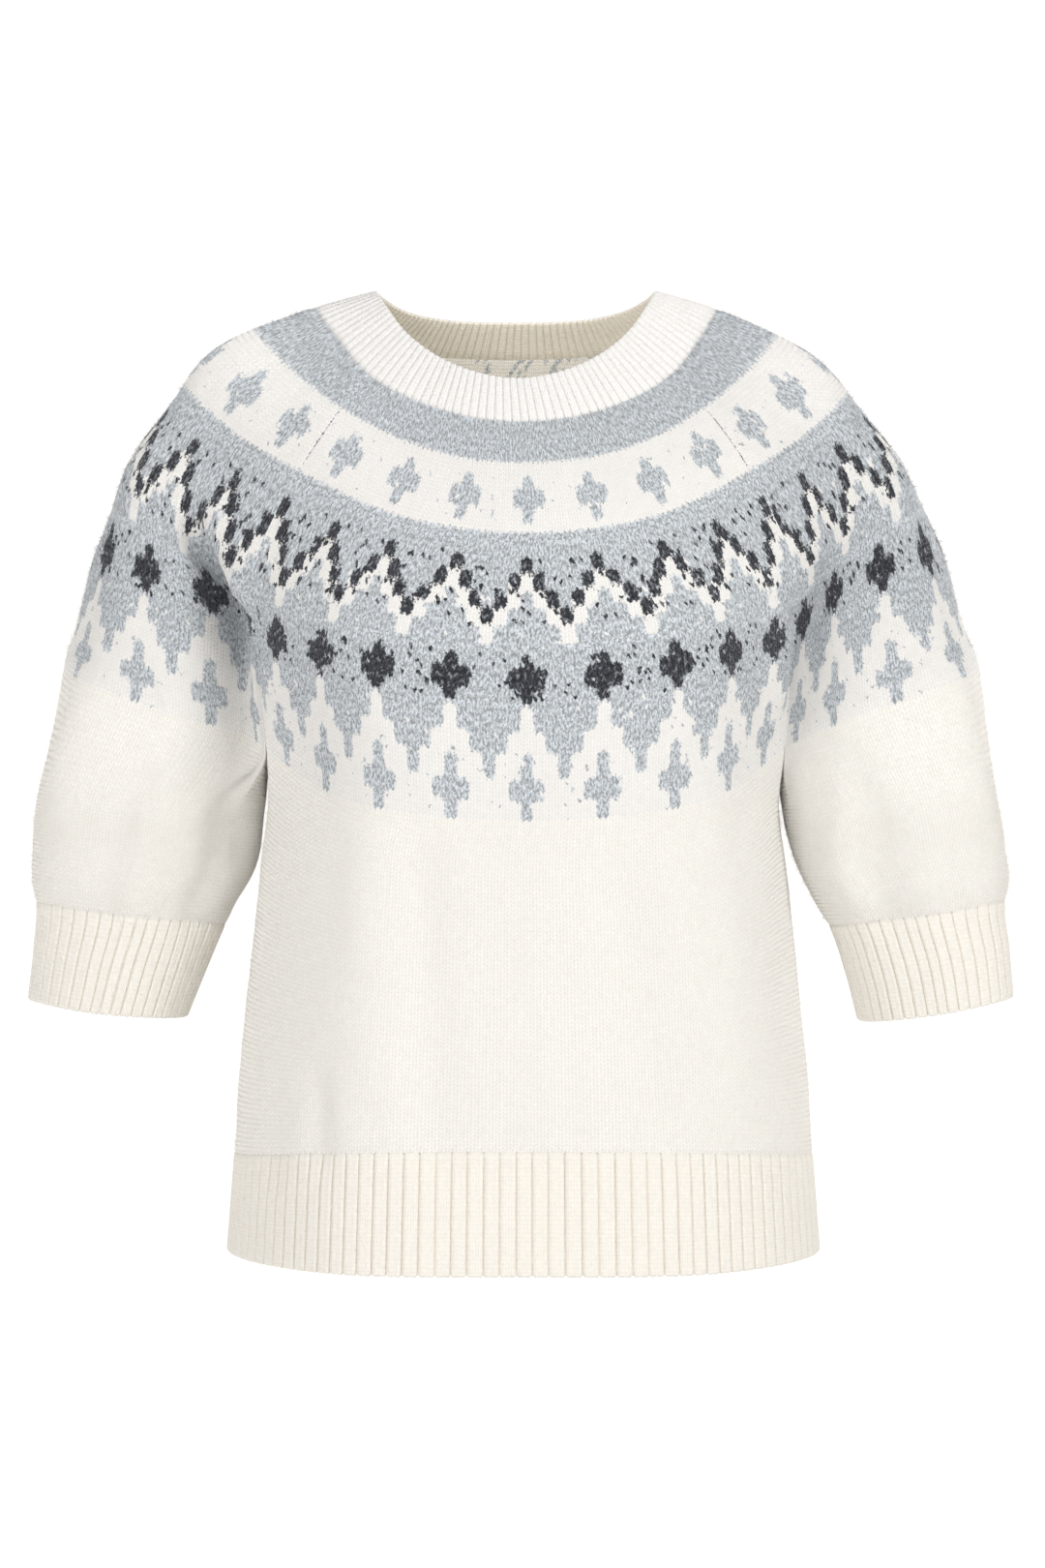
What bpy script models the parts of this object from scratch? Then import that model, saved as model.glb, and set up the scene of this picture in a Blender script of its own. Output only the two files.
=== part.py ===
"""Nordic yoke sweater: a hollow, filled-out pullover with a round patterned yoke.

Every panel is a wall of knitted cloth lofted through rings that are worked out
from the tables below.  Run it from Blender's text editor or with
blender --background --python part.py
"""
import bpy
import bmesh
import math
import numpy as np

# ----------------------------------------------------------------------------
# Sizes, in millimetres.  +X is the wearer's left, -Y the front, +Z up.
# The origin is the middle of the neck at the height of the side neck points.
# ----------------------------------------------------------------------------

# One row per ring of the yoke, from the neck edge down to the underarm.
# v is the length of fabric down the centre front; each (x, y, z) is the place
# of one column of stitches on the wearer's left, mirrored for the right:
#   cf, cb  centre front, centre back (y, z)      f, b   middle of the front and back panels
#   rf, rb  front and back raglan seams           s1, sh, s2   front, top and back of the sleeve head
# lean shifts the whole ring sideways, turn_f and turn_s turn the knitting on
# the front and on the sleeves, low drops the left shoulder, deep sets the
# front seams back and fold is how sharply the seams fold in (0 smooth, 1 a crease), each (left, right);
# tuck is how far the right sleeve is pushed under beside its front seam, (to the seam, back).
YOKE = [
    dict(ring="neck_edge",   v=0,   cf=(-60, -60),   f=(39, -53, -51),    rf=(69, -34, -30),   s1=(83, -15, -11),   sh=(88.5, 5, -1),    s2=(84, 27, -4),    rb=(71, 47, -10),   b=(42, 64, -15),    cb=(70, -16),   lean=-5, turn_f=1, turn_s=0,  low=0, deep=(0, 0),     fold=(0, 0),      tuck=(0, 0)),
    dict(ring="neck_seam",   v=34,  cf=(-78, -88),   f=(51, -70, -80),    rf=(95, -48, -57),   s1=(115, -24, -32),  sh=(128, 4, -12),    s2=(119, 35, -19),  rb=(97, 63, -32),   b=(52, 84, -37),    cb=(90, -39),   lean=-5, turn_f=4, turn_s=0,  low=1, deep=(0, 0),     fold=(0, 0),      tuck=(0, 0)),
    dict(ring="white_cross", v=78,  cf=(-102, -133), f=(66, -91, -124),   rf=(125, -69, -95),  s1=(161, -46, -70),  sh=(190, -12, -39),  s2=(168, 42, -46),  rb=(128, 68, -69),  b=(68, 99, -78),    cb=(105, -80),  lean=-5, turn_f=8, turn_s=-1, low=5, deep=(0, 0),     fold=(0, 0),      tuck=(0, 0)),
    dict(ring="zigzag_top",  v=121, cf=(-117, -175), f=(84, -103, -164),  rf=(150, -68, -136), s1=(190, -44, -110), sh=(222, -16, -80),  s2=(211, 42, -84),  rb=(152, 66, -107), b=(84, 107, -117),  cb=(114, -121), lean=-4, turn_f=6, turn_s=-2, low=4, deep=(-2, 0),    fold=(0.1, 0.2),  tuck=(0, 0)),
    dict(ring="zigzag_foot", v=154, cf=(-125, -208), f=(97, -111, -197),  rf=(168, -62, -176), s1=(207, -50, -150), sh=(245, -26, -116), s2=(235, 42, -118), rb=(165, 58, -142), b=(96, 110, -150),  cb=(118, -155), lean=-4, turn_f=6, turn_s=-4, low=2, deep=(-8, -2),   fold=(0.25, 0.6), tuck=(2, 9)),
    dict(ring="dark_cross",  v=190, cf=(-130, -244), f=(104, -116, -232), rf=(169, -40, -214), s1=(208, -54, -185), sh=(257, -38, -164), s2=(259, 42, -158), rb=(168, 48, -182), b=(103, 110, -187), cb=(119, -191), lean=-3, turn_f=5, turn_s=-5, low=0, deep=(-15, -12), fold=(0.5, 1.0),  tuck=(12, 42)),
    dict(ring="grey_cross",  v=258, cf=(-132, -311), f=(103, -118, -300), rf=(165, -28, -268), s1=(210, -53, -250), sh=(274, -38, -228), s2=(276, 44, -222), rb=(166, 42, -254), b=(102, 109, -257), cb=(118, -259), lean=-2, turn_f=4, turn_s=-5, low=0, deep=(-20, -20), fold=(0.7, 1.0),  tuck=(10, 33)),
    dict(ring="underarm",    v=281, cf=(-132, -334), f=(103, -118, -324), rf=(163, -28, -292), s1=(210, -51, -274), sh=(281, -36, -248), s2=(281, 44, -242), rb=(163, 40, -290), b=(102, 109, -280), cb=(118, -282), lean=-1, turn_f=3, turn_s=-5, low=0, deep=(-19, -18), fold=(0.8, 1.0),  tuck=(8, 26)),
]
UNDERARM_POINT = dict(x=162, y=(4, 5), z=-296)      # middle of the short underarm seam, (left, right)

# One row per ring of the body below the underarm.
BODY = [
    dict(ring="chest",   v=306, z=-325, half_width=161.8, front=132,   back=118,   square=3.0,  front_z=-34, back_z=8),
    dict(ring="high",    v=336, z=-362, half_width=166.1, front=132,   back=117,   square=3.1,  front_z=-27, back_z=9),
    dict(ring="waist",   v=390, z=-430, half_width=173.3, front=133,   back=117,   square=3.1,  front_z=-13, back_z=5),
    dict(ring="hip",     v=440, z=-493, half_width=179.6, front=135.5, back=119.5, square=3.05, front_z=0,   back_z=6),
    dict(ring="rib_top", v=484, z=-549, half_width=183.8, front=137.5, back=121.5, square=3.0,  front_z=14,  back_z=12),
    dict(ring="hem",     v=559, z=-611, half_width=188.8, front=142,   back=125,   square=2.9,  front_z=0,   back_z=2),
]

# One row per ring of the sleeves; where the two sleeves differ, (left, right) of the wearer.
# turn is how far the top of the sleeve is turned to the front, in degrees round the tube.
SLEEVE = [
    dict(ring="upper",    v=318, z=-322, inner=(166, 165),   outer=(308, 313),     front=-56, back=50, tilt=(9, 9),   turn=26, corner=(3.5, 1.60)),
    dict(ring="elbow",    v=362, z=-364, inner=(178, 173),   outer=(312, 316),     front=-55, back=49, tilt=(8, 8),   turn=22, corner=(3.5, 1.60)),
    dict(ring="over_rib", v=382, z=-386, inner=(189, 185),   outer=(313, 315.5),   front=-54, back=47, tilt=(8, 7),   turn=20, corner=(3.0, 1.65)),
    dict(ring="cuff_top", v=392, z=-397, inner=(195, 190),   outer=(310.5, 313.5), front=-51, back=45, tilt=(8, 7),   turn=20, corner=(2.8, 1.70)),
    dict(ring="cuff_mid", v=420, z=-428, inner=(206, 203),   outer=(312.5, 314.5), front=-51, back=48, tilt=(9, 7),   turn=18, corner=(2.6, 1.75)),
    dict(ring="cuff",     v=452, z=-459, inner=(214, 215.5), outer=(315, 318),     front=-52, back=50, tilt=(9, 7),   turn=18, corner=(2.5, 1.80)),
]
SLEEVE_SQUARE = 2.15       # how square the section of a sleeve is; corner says it for the quarter beside the body in front

# Stitch columns, counted from the centre front (384 in the round at the underarm).
COLUMN = dict(cf=0, f=28, rf=56, s1=76, sh=96, s2=116, rb=136, b=164, cb=192)
ROUND = 384
TUCK_AT = (56, 66, 80)       # columns where the tuck beside the right front seam starts, is deepest and ends
GUSSET = 9                 # extra columns each side of the underarm seam


# ----------------------------------------------------------------------------
# Rings
# ----------------------------------------------------------------------------
def landmark(row, name, side):
    """Place of a stitch column on a yoke ring; side is 1 for the wearer's left, -1 for the right."""
    t = row[name]
    x, y, z = (0.0, t[0], t[1]) if len(t) == 2 else t
    lean, tf, ts, low = row["lean"], row["turn_f"], row["turn_s"], row["low"]
    move = dict(cf=(tf, 0), f=(tf, 0), rf=(0.7*tf, row["deep"][int(side < 0)]), s1=(0.4*tf + ts, 0), sh=(0.4*ts, 1.2*ts*side),
                s2=(0, ts*side), rb=(-0.4*tf, 0), b=(-0.6*tf, 0), cb=(-0.6*tf, 0))[name]
    drop = {"s1": 0.5, "sh": 1.0, "s2": 0.8}.get(name, 0.0)*low*(side > 0)
    return np.array([side*x + lean + move[0], y + move[1], z - drop])


def half_round(f, wide, front, back, square):
    """Point at the fraction f of a half round by arc length: 0 centre front, 1 side, 2 centre back."""
    t = np.linspace(0, math.pi, 721)
    x = wide*np.abs(np.sin(t))**(2/square)
    y = np.where(np.cos(t) > 0, -front, back)*np.abs(np.cos(t))**(2/square)
    length = np.concatenate([[0], np.cumsum(np.hypot(np.diff(x), np.diff(y)))])
    lf, lb = length[360], length[-1] - length[360]
    at = f*lf if f <= 1 else lf + (f - 1)*lb
    return float(np.interp(at, length, x)), float(np.interp(at, length, y))


def body_point(row, col, side):
    """col counts columns from the centre front, 0 to twice the 65 of a quarter."""
    x, y = half_round(col/(56 + GUSSET), row["half_width"], row["front"], row["back"], row["square"])
    dz = row["front_z"]*(y/row["front"])**2 if y < 0 else row["back_z"]*(y/row["back"])**2
    return np.array([side*x, y, row["z"] + dz])


def sleeve_point(row, col, side):
    """col counts columns round the tube from the underarm, to the front first."""
    k = 0 if side > 0 else 1
    x0, x1 = row["inner"][k], row["outer"][k]
    cx, w = (x0 + x1)/2, (x1 - x0)/2
    cy, d = (row["front"] + row["back"])/2, (row["back"] - row["front"])/2
    t = np.linspace(0, 2*math.pi, 1441)
    p = np.where(t < math.pi/2, 2/row["corner"][k], 2/SLEEVE_SQUARE)
    x = -w*np.sign(np.cos(t))*np.abs(np.cos(t))**p
    y = -d*np.sign(np.sin(t))*np.abs(np.sin(t))**p
    length = np.concatenate([[0], np.cumsum(np.hypot(np.diff(x), np.diff(y)))])
    f = col/(80 + 2*GUSSET)
    at = f*length[-1] - row["turn"]/360*length[-1]*math.sin(math.pi*f)
    xx, yy = np.interp(at, length, x), np.interp(at, length, y)
    tilt = math.radians(row["tilt"][k])
    return np.array([side*(cx + xx*math.cos(tilt)), cy + yy, row["z"] + xx*math.sin(tilt)])


def slopes(p, s, before, after):
    """Tangent per column at each point of a run, with the point before it and the one after."""
    pp = [before[0]] + list(p) + [after[0]]
    ss = [before[1]] + list(s) + [after[1]]
    out = []
    for i in range(1, len(pp) - 1):
        ha, hb = ss[i] - ss[i-1], ss[i+1] - ss[i]
        out.append(((pp[i] - pp[i-1])/ha*hb + (pp[i+1] - pp[i])/hb*ha)/(ha + hb))
    return np.array(out)


def end_slope(p, s, i, j, tj):
    """Free-end tangent at point i of a run that comes from point j with the tangent tj."""
    return 1.5*(p[i] - p[j])/(s[i] - s[j]) - 0.5*tj


# Columns of each panel's landmarks, above and below the underarm.
G = GUSSET
NODES = dict(
    front=([-56, -28, 0, 28, 56], [-56-G, -56, -28, 0, 28, 56, 56+G]),
    back=([136, 164, 192, 220, 248], [136-G, 136, 164, 192, 220, 248, 248+G]),
    sleeve=([56, 76, 96, 116, 136], [56-G, 56, 76, 96, 116, 136, 136+G]))
UNDERARM_V = YOKE[-1]["v"]
HALF = ("cf", "f", "rf", "s1", "sh", "s2", "rb", "b", "cb")


def yoke_row(row, panel, side):
    """Columns, points and tangents (arriving, leaving) of one panel on a yoke ring."""
    pos = {s: {n: landmark(row, n, s) for n in HALF} for s in (1, -1)}
    loop = sorted((COLUMN[n]*s, n, s) for s in (1, -1) for n in HALF if s > 0 or n not in ("cf", "cb"))
    s_ = [float(c) for c, n, s in loop]
    p_ = [pos[s][n] for c, n, s in loop]
    t_ = slopes(p_, s_, (p_[-1], s_[-1] - ROUND), (p_[0], s_[0] + ROUND))
    at = {(n, s): i for i, (c, n, s) in enumerate(loop)}
    at[("cf", -1)], at[("cb", -1)] = at[("cf", 1)], at[("cb", 1)]
    names = dict(front=("rf", "f", "cf", "f", "rf"), back=("rb", "b", "cb", "b", "rb"),
                 sleeve=("rf", "s1", "sh", "s2", "rb"))[panel]
    sides = dict(front=(-1, -1, 1, 1, 1), back=(1, 1, 1, -1, -1), sleeve=(side,)*5)[panel]
    i = [at[(n, s)] for n, s in zip(names, sides)]
    pts = [p_[k] for k in i]
    tan = [t_[k] for k in i]
    fold = [row["fold"][int(sides[k] < 0)] for k in (0, -1)]
    tan[0] = (1 - fold[0])*tan[0] + fold[0]*end_slope(p_, s_, i[0], i[1], t_[i[1]])
    tan[-1] = (1 - fold[1])*tan[-1] + fold[1]*end_slope(p_, s_, i[-1], i[-2], t_[i[-2]])
    if panel == "sleeve" and side < 0:
        tan = [-t for t in tan]
    cols = np.array(NODES[panel][0], float)
    pts, tan = np.array(pts), np.array(tan)
    if row["v"] < UNDERARM_V:
        return cols, pts, tan, tan
    # the underarm ring goes on past the seam columns to the middle of the underarm
    u = UNDERARM_POINT
    um = {s: np.array([s*u["x"] + row["lean"], u["y"][int(s < 0)], u["z"]], float) for s in (1, -1)}
    first, last = (um[-1], um[1]) if panel == "front" else (um[1], um[-1]) if panel == "back" else (um[side],)*2
    back_first, back_last = dict(front=(pos[-1]["rb"], pos[1]["rb"]), back=(pos[1]["rf"], pos[-1]["rf"]),
                                 sleeve=(pos[side]["rb"], pos[side]["rf"]))[panel]
    pts = np.array([first] + list(pts) + [last])
    mid0, mid1 = (pts[1] - back_first)/(2*G), (back_last - pts[-2])/(2*G)
    arrive = np.array([mid0, (pts[1] - first)/G] + list(tan[1:]) + [mid1])
    leave = np.array([mid0] + list(tan[:-1]) + [(last - pts[-2])/G, mid1])
    return np.array(NODES[panel][1], float), pts, arrive, leave


def tube_row(row, panel, side):
    """The same for a ring of the body or of a sleeve."""
    q = 56 + G
    if panel == "sleeve":
        pts = [sleeve_point(row, c, side) for c in (0, G, G + 20, G + 40, G + 60, G + 80, 2*G + 80)]
        ends = pts[-2], pts[1]
    elif panel == "front":
        pts = [body_point(row, c, s) for c, s in ((q, -1), (56, -1), (28, -1), (0, 1), (28, 1), (56, 1), (q, 1))]
        ends = body_point(row, q + G, -1), body_point(row, q + G, 1)
    else:
        pts = [body_point(row, c, s) for c, s in ((q, 1), (q + G, 1), (q + G + 28, 1), (2*q, 1),
                                                   (q + G + 28, -1), (q + G, -1), (q, -1))]
        ends = body_point(row, q - G, 1), body_point(row, q - G, -1)
    s_ = [float(c) for c in NODES[panel][1]]
    t_ = slopes(pts, s_, (ends[0], s_[0] - G), (ends[1], s_[-1] + G))
    return np.array(s_), np.array(pts), t_, t_


def panel_rows(panel, side):
    tubes = SLEEVE if panel == "sleeve" else BODY
    return [(r["v"],) + yoke_row(r, panel, side) for r in YOKE] + [(r["v"],) + tube_row(r, panel, side) for r in tubes]


def hermite(t, p0, m0, p1, m1, h):
    t2, t3 = t*t, t*t*t
    return (2*t3 - 3*t2 + 1)*p0 + (t3 - 2*t2 + t)*h*m0 + (-2*t3 + 3*t2)*p1 + (t3 - t2)*h*m1


def along(nodes, p, arrive, leave, s):
    """Cubic through the points p, read at the values s."""
    i = np.clip(np.searchsorted(nodes, s, side="right") - 1, 0, len(nodes) - 2)
    h = nodes[i+1] - nodes[i]
    t = (s - nodes[i])/h
    sh = (-1,) + (1,)*(p.ndim - 1)
    return hermite(t.reshape(sh), p[i], leave[i], p[i+1], arrive[i+1], h.reshape(sh))


def surface(panel, side, cols, rows):
    """Points of a panel's outer face without its folds, [len(rows), len(cols), 3] in mm."""
    rings = panel_rows(panel, side)
    cols, rows = np.asarray(cols, float), np.asarray(rows, float)
    v = np.array([r[0] for r in rings], float)
    K = len(rings)
    ks = len(YOKE) - 1
    lo, hi = NODES[panel][0][0], NODES[panel][0][-1]
    inside = np.clip(cols, lo, hi)

    def read(c):
        P = np.empty((K, len(c), 3))
        for k, (_, s, p, arrive, leave) in enumerate(rings):
            P[k] = along(s, p, arrive, leave, np.clip(c, s[0], s[-1]))
            if panel == "sleeve" and side < 0 and k < len(YOKE):
                w = np.where(c < TUCK_AT[1], (c - TUCK_AT[0])/(TUCK_AT[1] - TUCK_AT[0]), (TUCK_AT[2] - c)/(TUCK_AT[2] - TUCK_AT[1]))
                w = np.clip(w, 0, 1)
                w = w*w*(3 - 2*w)
                P[k] += w[:, None]*np.array([*YOKE[k]["tuck"], 0.0])
        return P

    def down(P, c):
        M = np.empty_like(P)
        M[0], M[-1] = (P[1] - P[0])/(v[1] - v[0]), (P[-1] - P[-2])/(v[-1] - v[-2])
        for k in range(1, K - 1):
            ha, hb = v[k] - v[k-1], v[k+1] - v[k]
            M[k] = ((P[k] - P[k-1])/ha*hb + (P[k+1] - P[k])/hb*ha)/(ha + hb)
        # the seams run straight into the underarm point
        w = np.clip(1 - np.minimum(c - lo, hi - c)/14, 0, 1)[:, None]**2
        M[ks] += w*((P[ks] - P[ks-1])/(v[ks] - v[ks-1]) - M[ks])
        return M

    P = read(cols)
    M = down(P, inside)
    out = np.abs(cols - inside) > 1e-9
    if out.any():
        Pc = read(inside[out])
        Mc = down(Pc, inside[out])
        hb = v[ks+1] - v[ks]
        w = ((1 - np.abs(cols[out] - inside[out])/G)**2)[:, None]
        M[ks, out] = (P[ks+1, out] - P[ks, out])/hb + (Mc[ks] - (Pc[ks+1] - Pc[ks])/hb)*w
    return along(v, P, M, M, rows)


# Soft folds.  Each is a ridge (high > 0) or a trough along a line of columns and rows from a to b;
# width is in mm, steep the part of it on the side of the higher columns, or on the other if negative.
FOLDS = [
    # side: 1 the wearer's left, -1 the right; col counts from the centre front, -56..56 on the front
    dict(fold="armpit_edge_r",  panel="front",  side=0,  a=(-49, 172), b=(-50, 268), width=17, high=3.0),
    dict(fold="armpit_edge_l",  panel="front",  side=0,  a=(50, 160),  b=(52, 262),  width=15, high=4.0),
    dict(fold="armpit_rim_r",   panel="sleeve", side=-1, a=(72, 143),  b=(57.5, 182), width=15, high=7.5, steep=0.36),
    dict(fold="armpit_dip_r",   panel="sleeve", side=-1, a=(79, 150),  b=(64, 184),  width=12, high=-10.0),
    dict(fold="armpit_deep_r",  panel="sleeve", side=-1, a=(67, 190),  b=(66, 262),  width=8,  high=-2.0),
    dict(fold="armpit_dip_l",   panel="sleeve", side=1,  a=(70, 160),  b=(60, 264),  width=15, high=-2.0),
    dict(fold="front_ridge_r",  panel="front",  side=0,  a=(-26, 270), b=(-23, 462), width=18, high=1.5),
    dict(fold="front_trough_r", panel="front",  side=0,  a=(-16, 282), b=(-12, 500), width=14, high=-6.5),
    dict(fold="front_ridge_c",  panel="front",  side=0,  a=(-1, 300),  b=(2, 490),   width=22, high=2.5),
    dict(fold="front_trough_l", panel="front",  side=0,  a=(14, 286),  b=(21, 486),  width=17, high=-5.0),
    dict(fold="front_ridge_l",  panel="front",  side=0,  a=(31, 260),  b=(35, 474),  width=24, high=2.2),
    dict(fold="side_trough_l",  panel="front",  side=0,  a=(52, 297),  b=(48, 433),  width=18, high=-3.0),
    dict(fold="rib_dent_r",     panel="front",  side=0,  a=(-32, 432), b=(-30, 500), width=9,  high=-2.2),
    dict(fold="rib_dent_side",  panel="front",  side=0,  a=(-42, 438), b=(-40, 510), width=9,  high=-2.0),
    dict(fold="back_ridge_l",   panel="back",   side=0,  a=(150, 230), b=(163, 456), width=26, high=4.0),
    dict(fold="back_trough_l",  panel="back",   side=0,  a=(168, 260), b=(177, 476), width=20, high=-3.5),
    dict(fold="back_ridge_c",   panel="back",   side=0,  a=(190, 289), b=(193, 464), width=24, high=3.0),
    dict(fold="back_trough_r",  panel="back",   side=0,  a=(214, 270), b=(206, 472), width=20, high=-4.0),
    dict(fold="back_ridge_r",   panel="back",   side=0,  a=(233, 220), b=(222, 448), width=26, high=4.0),
    dict(fold="back_armpit_l",  panel="sleeve", side=1,  a=(118, 170), b=(132, 262), width=15, high=-5.0),
    dict(fold="back_armpit_r",  panel="sleeve", side=-1, a=(120, 165), b=(132, 262), width=15, high=-6.0),
    dict(fold="sleeve_dent_l",  panel="sleeve", side=1,  a=(75, 318),  b=(68, 400),  width=12, high=-4.0),
    dict(fold="sleeve_ridge_l", panel="sleeve", side=1,  a=(70, 296),  b=(62, 390),  width=11, high=3.5),
    dict(fold="sleeve_dent_r",  panel="sleeve", side=-1, a=(59, 284),  b=(60, 404),  width=14, high=-4.5),
    dict(fold="sleeve_ridge_r", panel="sleeve", side=-1, a=(75, 286),  b=(72, 404),  width=14, high=3.5),
]
COLUMN_WIDTH = 3.6         # mm of one column, used only for the widths of folds
FOLD_CLEAR = 9             # mm over which a fold dies out at a seam


def fold_height(panel, side, cols, rows):
    """Height of the folds over a panel, [len(rows), len(cols)] in mm."""
    c, r = np.meshgrid(np.asarray(cols, float), np.asarray(rows, float))
    h = np.zeros_like(c)
    for f in FOLDS:
        if f["panel"] != panel or f["side"] not in (0, side):
            continue
        ax, ay = f["a"][0]*COLUMN_WIDTH, f["a"][1]
        bx, by = f["b"][0]*COLUMN_WIDTH, f["b"][1]
        px, py = c*COLUMN_WIDTH - ax, r - ay
        dx, dy = bx - ax, by - ay
        n = math.hypot(dx, dy)
        t = (px*dx + py*dy)/(n*n)
        off = (px*dy - py*dx)/n
        steep = f.get("steep", 1.0)
        wide = f["width"]*np.where(off*(1 if steep > 0 else -1) > 0, abs(steep), 1.0)
        end = np.clip(np.minimum(t + 0.12, 1.12 - t)/0.35, 0, 1)
        end = end*end*(3 - 2*end)
        h += f["high"]*end*np.exp(-(off/wide)**2)
    lo, hi = NODES[panel][0][0], NODES[panel][0][-1]
    edge = np.clip(np.minimum(c - lo, hi - c)*COLUMN_WIDTH/FOLD_CLEAR, 0, 1)
    up = np.where(r <= UNDERARM_V + 25, edge, 1)
    mix = np.clip((r - UNDERARM_V - 5)/40, 0, 1)
    edge = edge*(1 - mix) + mix
    # and dies out through the ribs below
    last = 436 if panel == "sleeve" else 542
    edge = edge*np.clip((last - r)/58, 0, 1)*np.clip((r - 40)/20, 0, 1)
    return h*edge


def outward(panel, side, cols, rows):
    """Outward unit normals, with the slopes along the columns and down the rows."""
    cols, rows = np.asarray(cols, float), np.asarray(rows, float)
    ec, er = 0.4, 1.0
    out = NODES[panel][1]
    top, foot = YOKE[0]["v"], (SLEEVE if panel == "sleeve" else BODY)[-1]["v"]
    c0, c1 = np.clip(cols - ec, out[0], out[-1]), np.clip(cols + ec, out[0], out[-1])
    lo, hi = NODES[panel][0][0], NODES[panel][0][-1]
    c0, c1 = np.where(np.abs(cols - lo) < 1e-6, cols, c0), np.where(np.abs(cols - hi) < 1e-6, cols, c1)
    r0, r1 = np.clip(rows - er, top, foot), np.clip(rows + er, top, foot)
    below = np.abs(rows - UNDERARM_V) < 1e-6
    r0 = np.where(below, rows, r0)
    du = (surface(panel, side, c1, rows) - surface(panel, side, c0, rows))/(c1 - c0)[None, :, None]
    dv = (surface(panel, side, cols, r1) - surface(panel, side, cols, r0))/(r1 - r0)[:, None, None]
    n = np.cross(dv, du)*(-1 if panel == "sleeve" and side < 0 else 1)
    n /= np.maximum(np.linalg.norm(n, axis=-1, keepdims=True), 1e-9)
    return n, du, dv


# ----------------------------------------------------------------------------
# Walls
# ----------------------------------------------------------------------------
MM = 0.001
WALL = 2.4                 # thickness of the plain and patterned knit
RIB_WALL = 3.2             # thickness of the ribs
SEAM_GAP = 0.3             # between two pieces at a seam
NECK_V, UNDER_V, HEM_V, CUFF_V = 34.0, float(UNDERARM_V), 484.0, 392.0
FRONT_END, SLEEVE_END = float(BODY[-1]["v"]), float(SLEEVE[-1]["v"])


def partners(panel, side, col, row):
    """The other pieces' places at a point on a seam: (panel, side, col, kind)."""
    found = []
    on_raglan = row <= UNDER_V + 1e-6
    under = abs(row - UNDER_V) < 1e-6
    if panel == "front":
        s = 1 if col > 0 else -1
        c = abs(col)
        if on_raglan and abs(c - 56) < 1e-6:
            found.append(("sleeve", s, 56.0, "under" if under else "raglan"))
        elif under and c > 56:
            found.append(("sleeve", s, 112 - c, "under"))
        if row >= UNDER_V - 1e-6 and abs(c - 65) < 1e-6:
            found.append(("back", 1, 127.0 if s > 0 else 257.0, "side"))
    elif panel == "back":
        s = 1 if col < 192 else -1
        c = col if s > 0 else 384 - col
        if on_raglan and abs(c - 136) < 1e-6:
            found.append(("sleeve", s, 136.0, "under" if under else "raglan"))
        elif under and c < 136:
            found.append(("sleeve", s, 272 - c, "under"))
        if row >= UNDER_V - 1e-6 and abs(c - 127) < 1e-6:
            found.append(("front", 1, 65.0*s, "side"))
    else:
        if on_raglan and abs(col - 56) < 1e-6:
            found.append(("front", 1, 56.0*side, "under" if under else "raglan"))
        elif under and col < 56:
            found.append(("front", 1, (112 - col)*side, "under"))
        if on_raglan and abs(col - 136) < 1e-6:
            found.append(("back", 1, 136.0 if side > 0 else 248.0, "under" if under else "raglan"))
        elif under and col > 136:
            k = 272 - col
            found.append(("back", 1, k if side > 0 else 384 - k, "under"))
    return found


def away(panel, col, row, du, dv, kind):
    """Unit direction in the cloth, away from the seam and into this panel."""
    if kind == "under":
        d = dv
    elif panel == "front":
        d = -du if col > 0 else du
    elif panel == "back":
        d = du if col < 192 else -du
    else:
        d = du if col < 96 else -du
    return d/np.linalg.norm(d)


def wall_points(panel, side, cols, rows, thick, row_gap=(None, None)):
    """Outer and inner faces of a panel's wall; row_gap names the rows that keep a gap to the next piece."""
    outer = surface(panel, side, cols, rows)
    n, du, dv = outward(panel, side, cols, rows)
    outer = outer + n*fold_height(panel, side, cols, rows)[..., None]
    inner = outer.copy()
    for i, r in enumerate(rows):
        for j, c in enumerate(cols):
            lo, hi = NODES[panel][0][0], NODES[panel][0][-1]
            if r < UNDER_V - 1e-6 and not lo - 1e-6 <= c <= hi + 1e-6:
                continue
            normal, shift = n[i, j].copy(), np.zeros(3)
            under = False
            for other, s2, c2, kind in partners(panel, side, float(c), float(r)):
                n2, du2, dv2 = (a[0, 0] for a in outward(other, s2, [c2], [r]))
                if kind == "under":
                    under = True
                    sgn = 1 if outer[i, j][0] > 0 else -1
                    shift += np.array([sgn*(1 if panel == "sleeve" else -1), 0, 0])
                    continue
                a1 = away(panel, c, r, du[i, j], dv[i, j], kind)
                a2 = away(other, c2, r, du2, dv2, kind)
                shift += (a1 - a2)/np.linalg.norm(a1 - a2)
                normal = normal + n2 + 0.5*(a1 + a2)
            if under:
                normal = np.array([0, 0, -1.0])
            if i == 0 and row_gap[0] is not None:
                shift += dv[i, j]/np.linalg.norm(dv[i, j])
            if i == len(rows) - 1 and row_gap[1] is not None:
                shift -= dv[i, j]/np.linalg.norm(dv[i, j])
            normal /= np.linalg.norm(normal)
            outer[i, j] += shift*SEAM_GAP/2
            inner[i, j] = outer[i, j] - normal*thick
    return outer, inner


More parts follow.
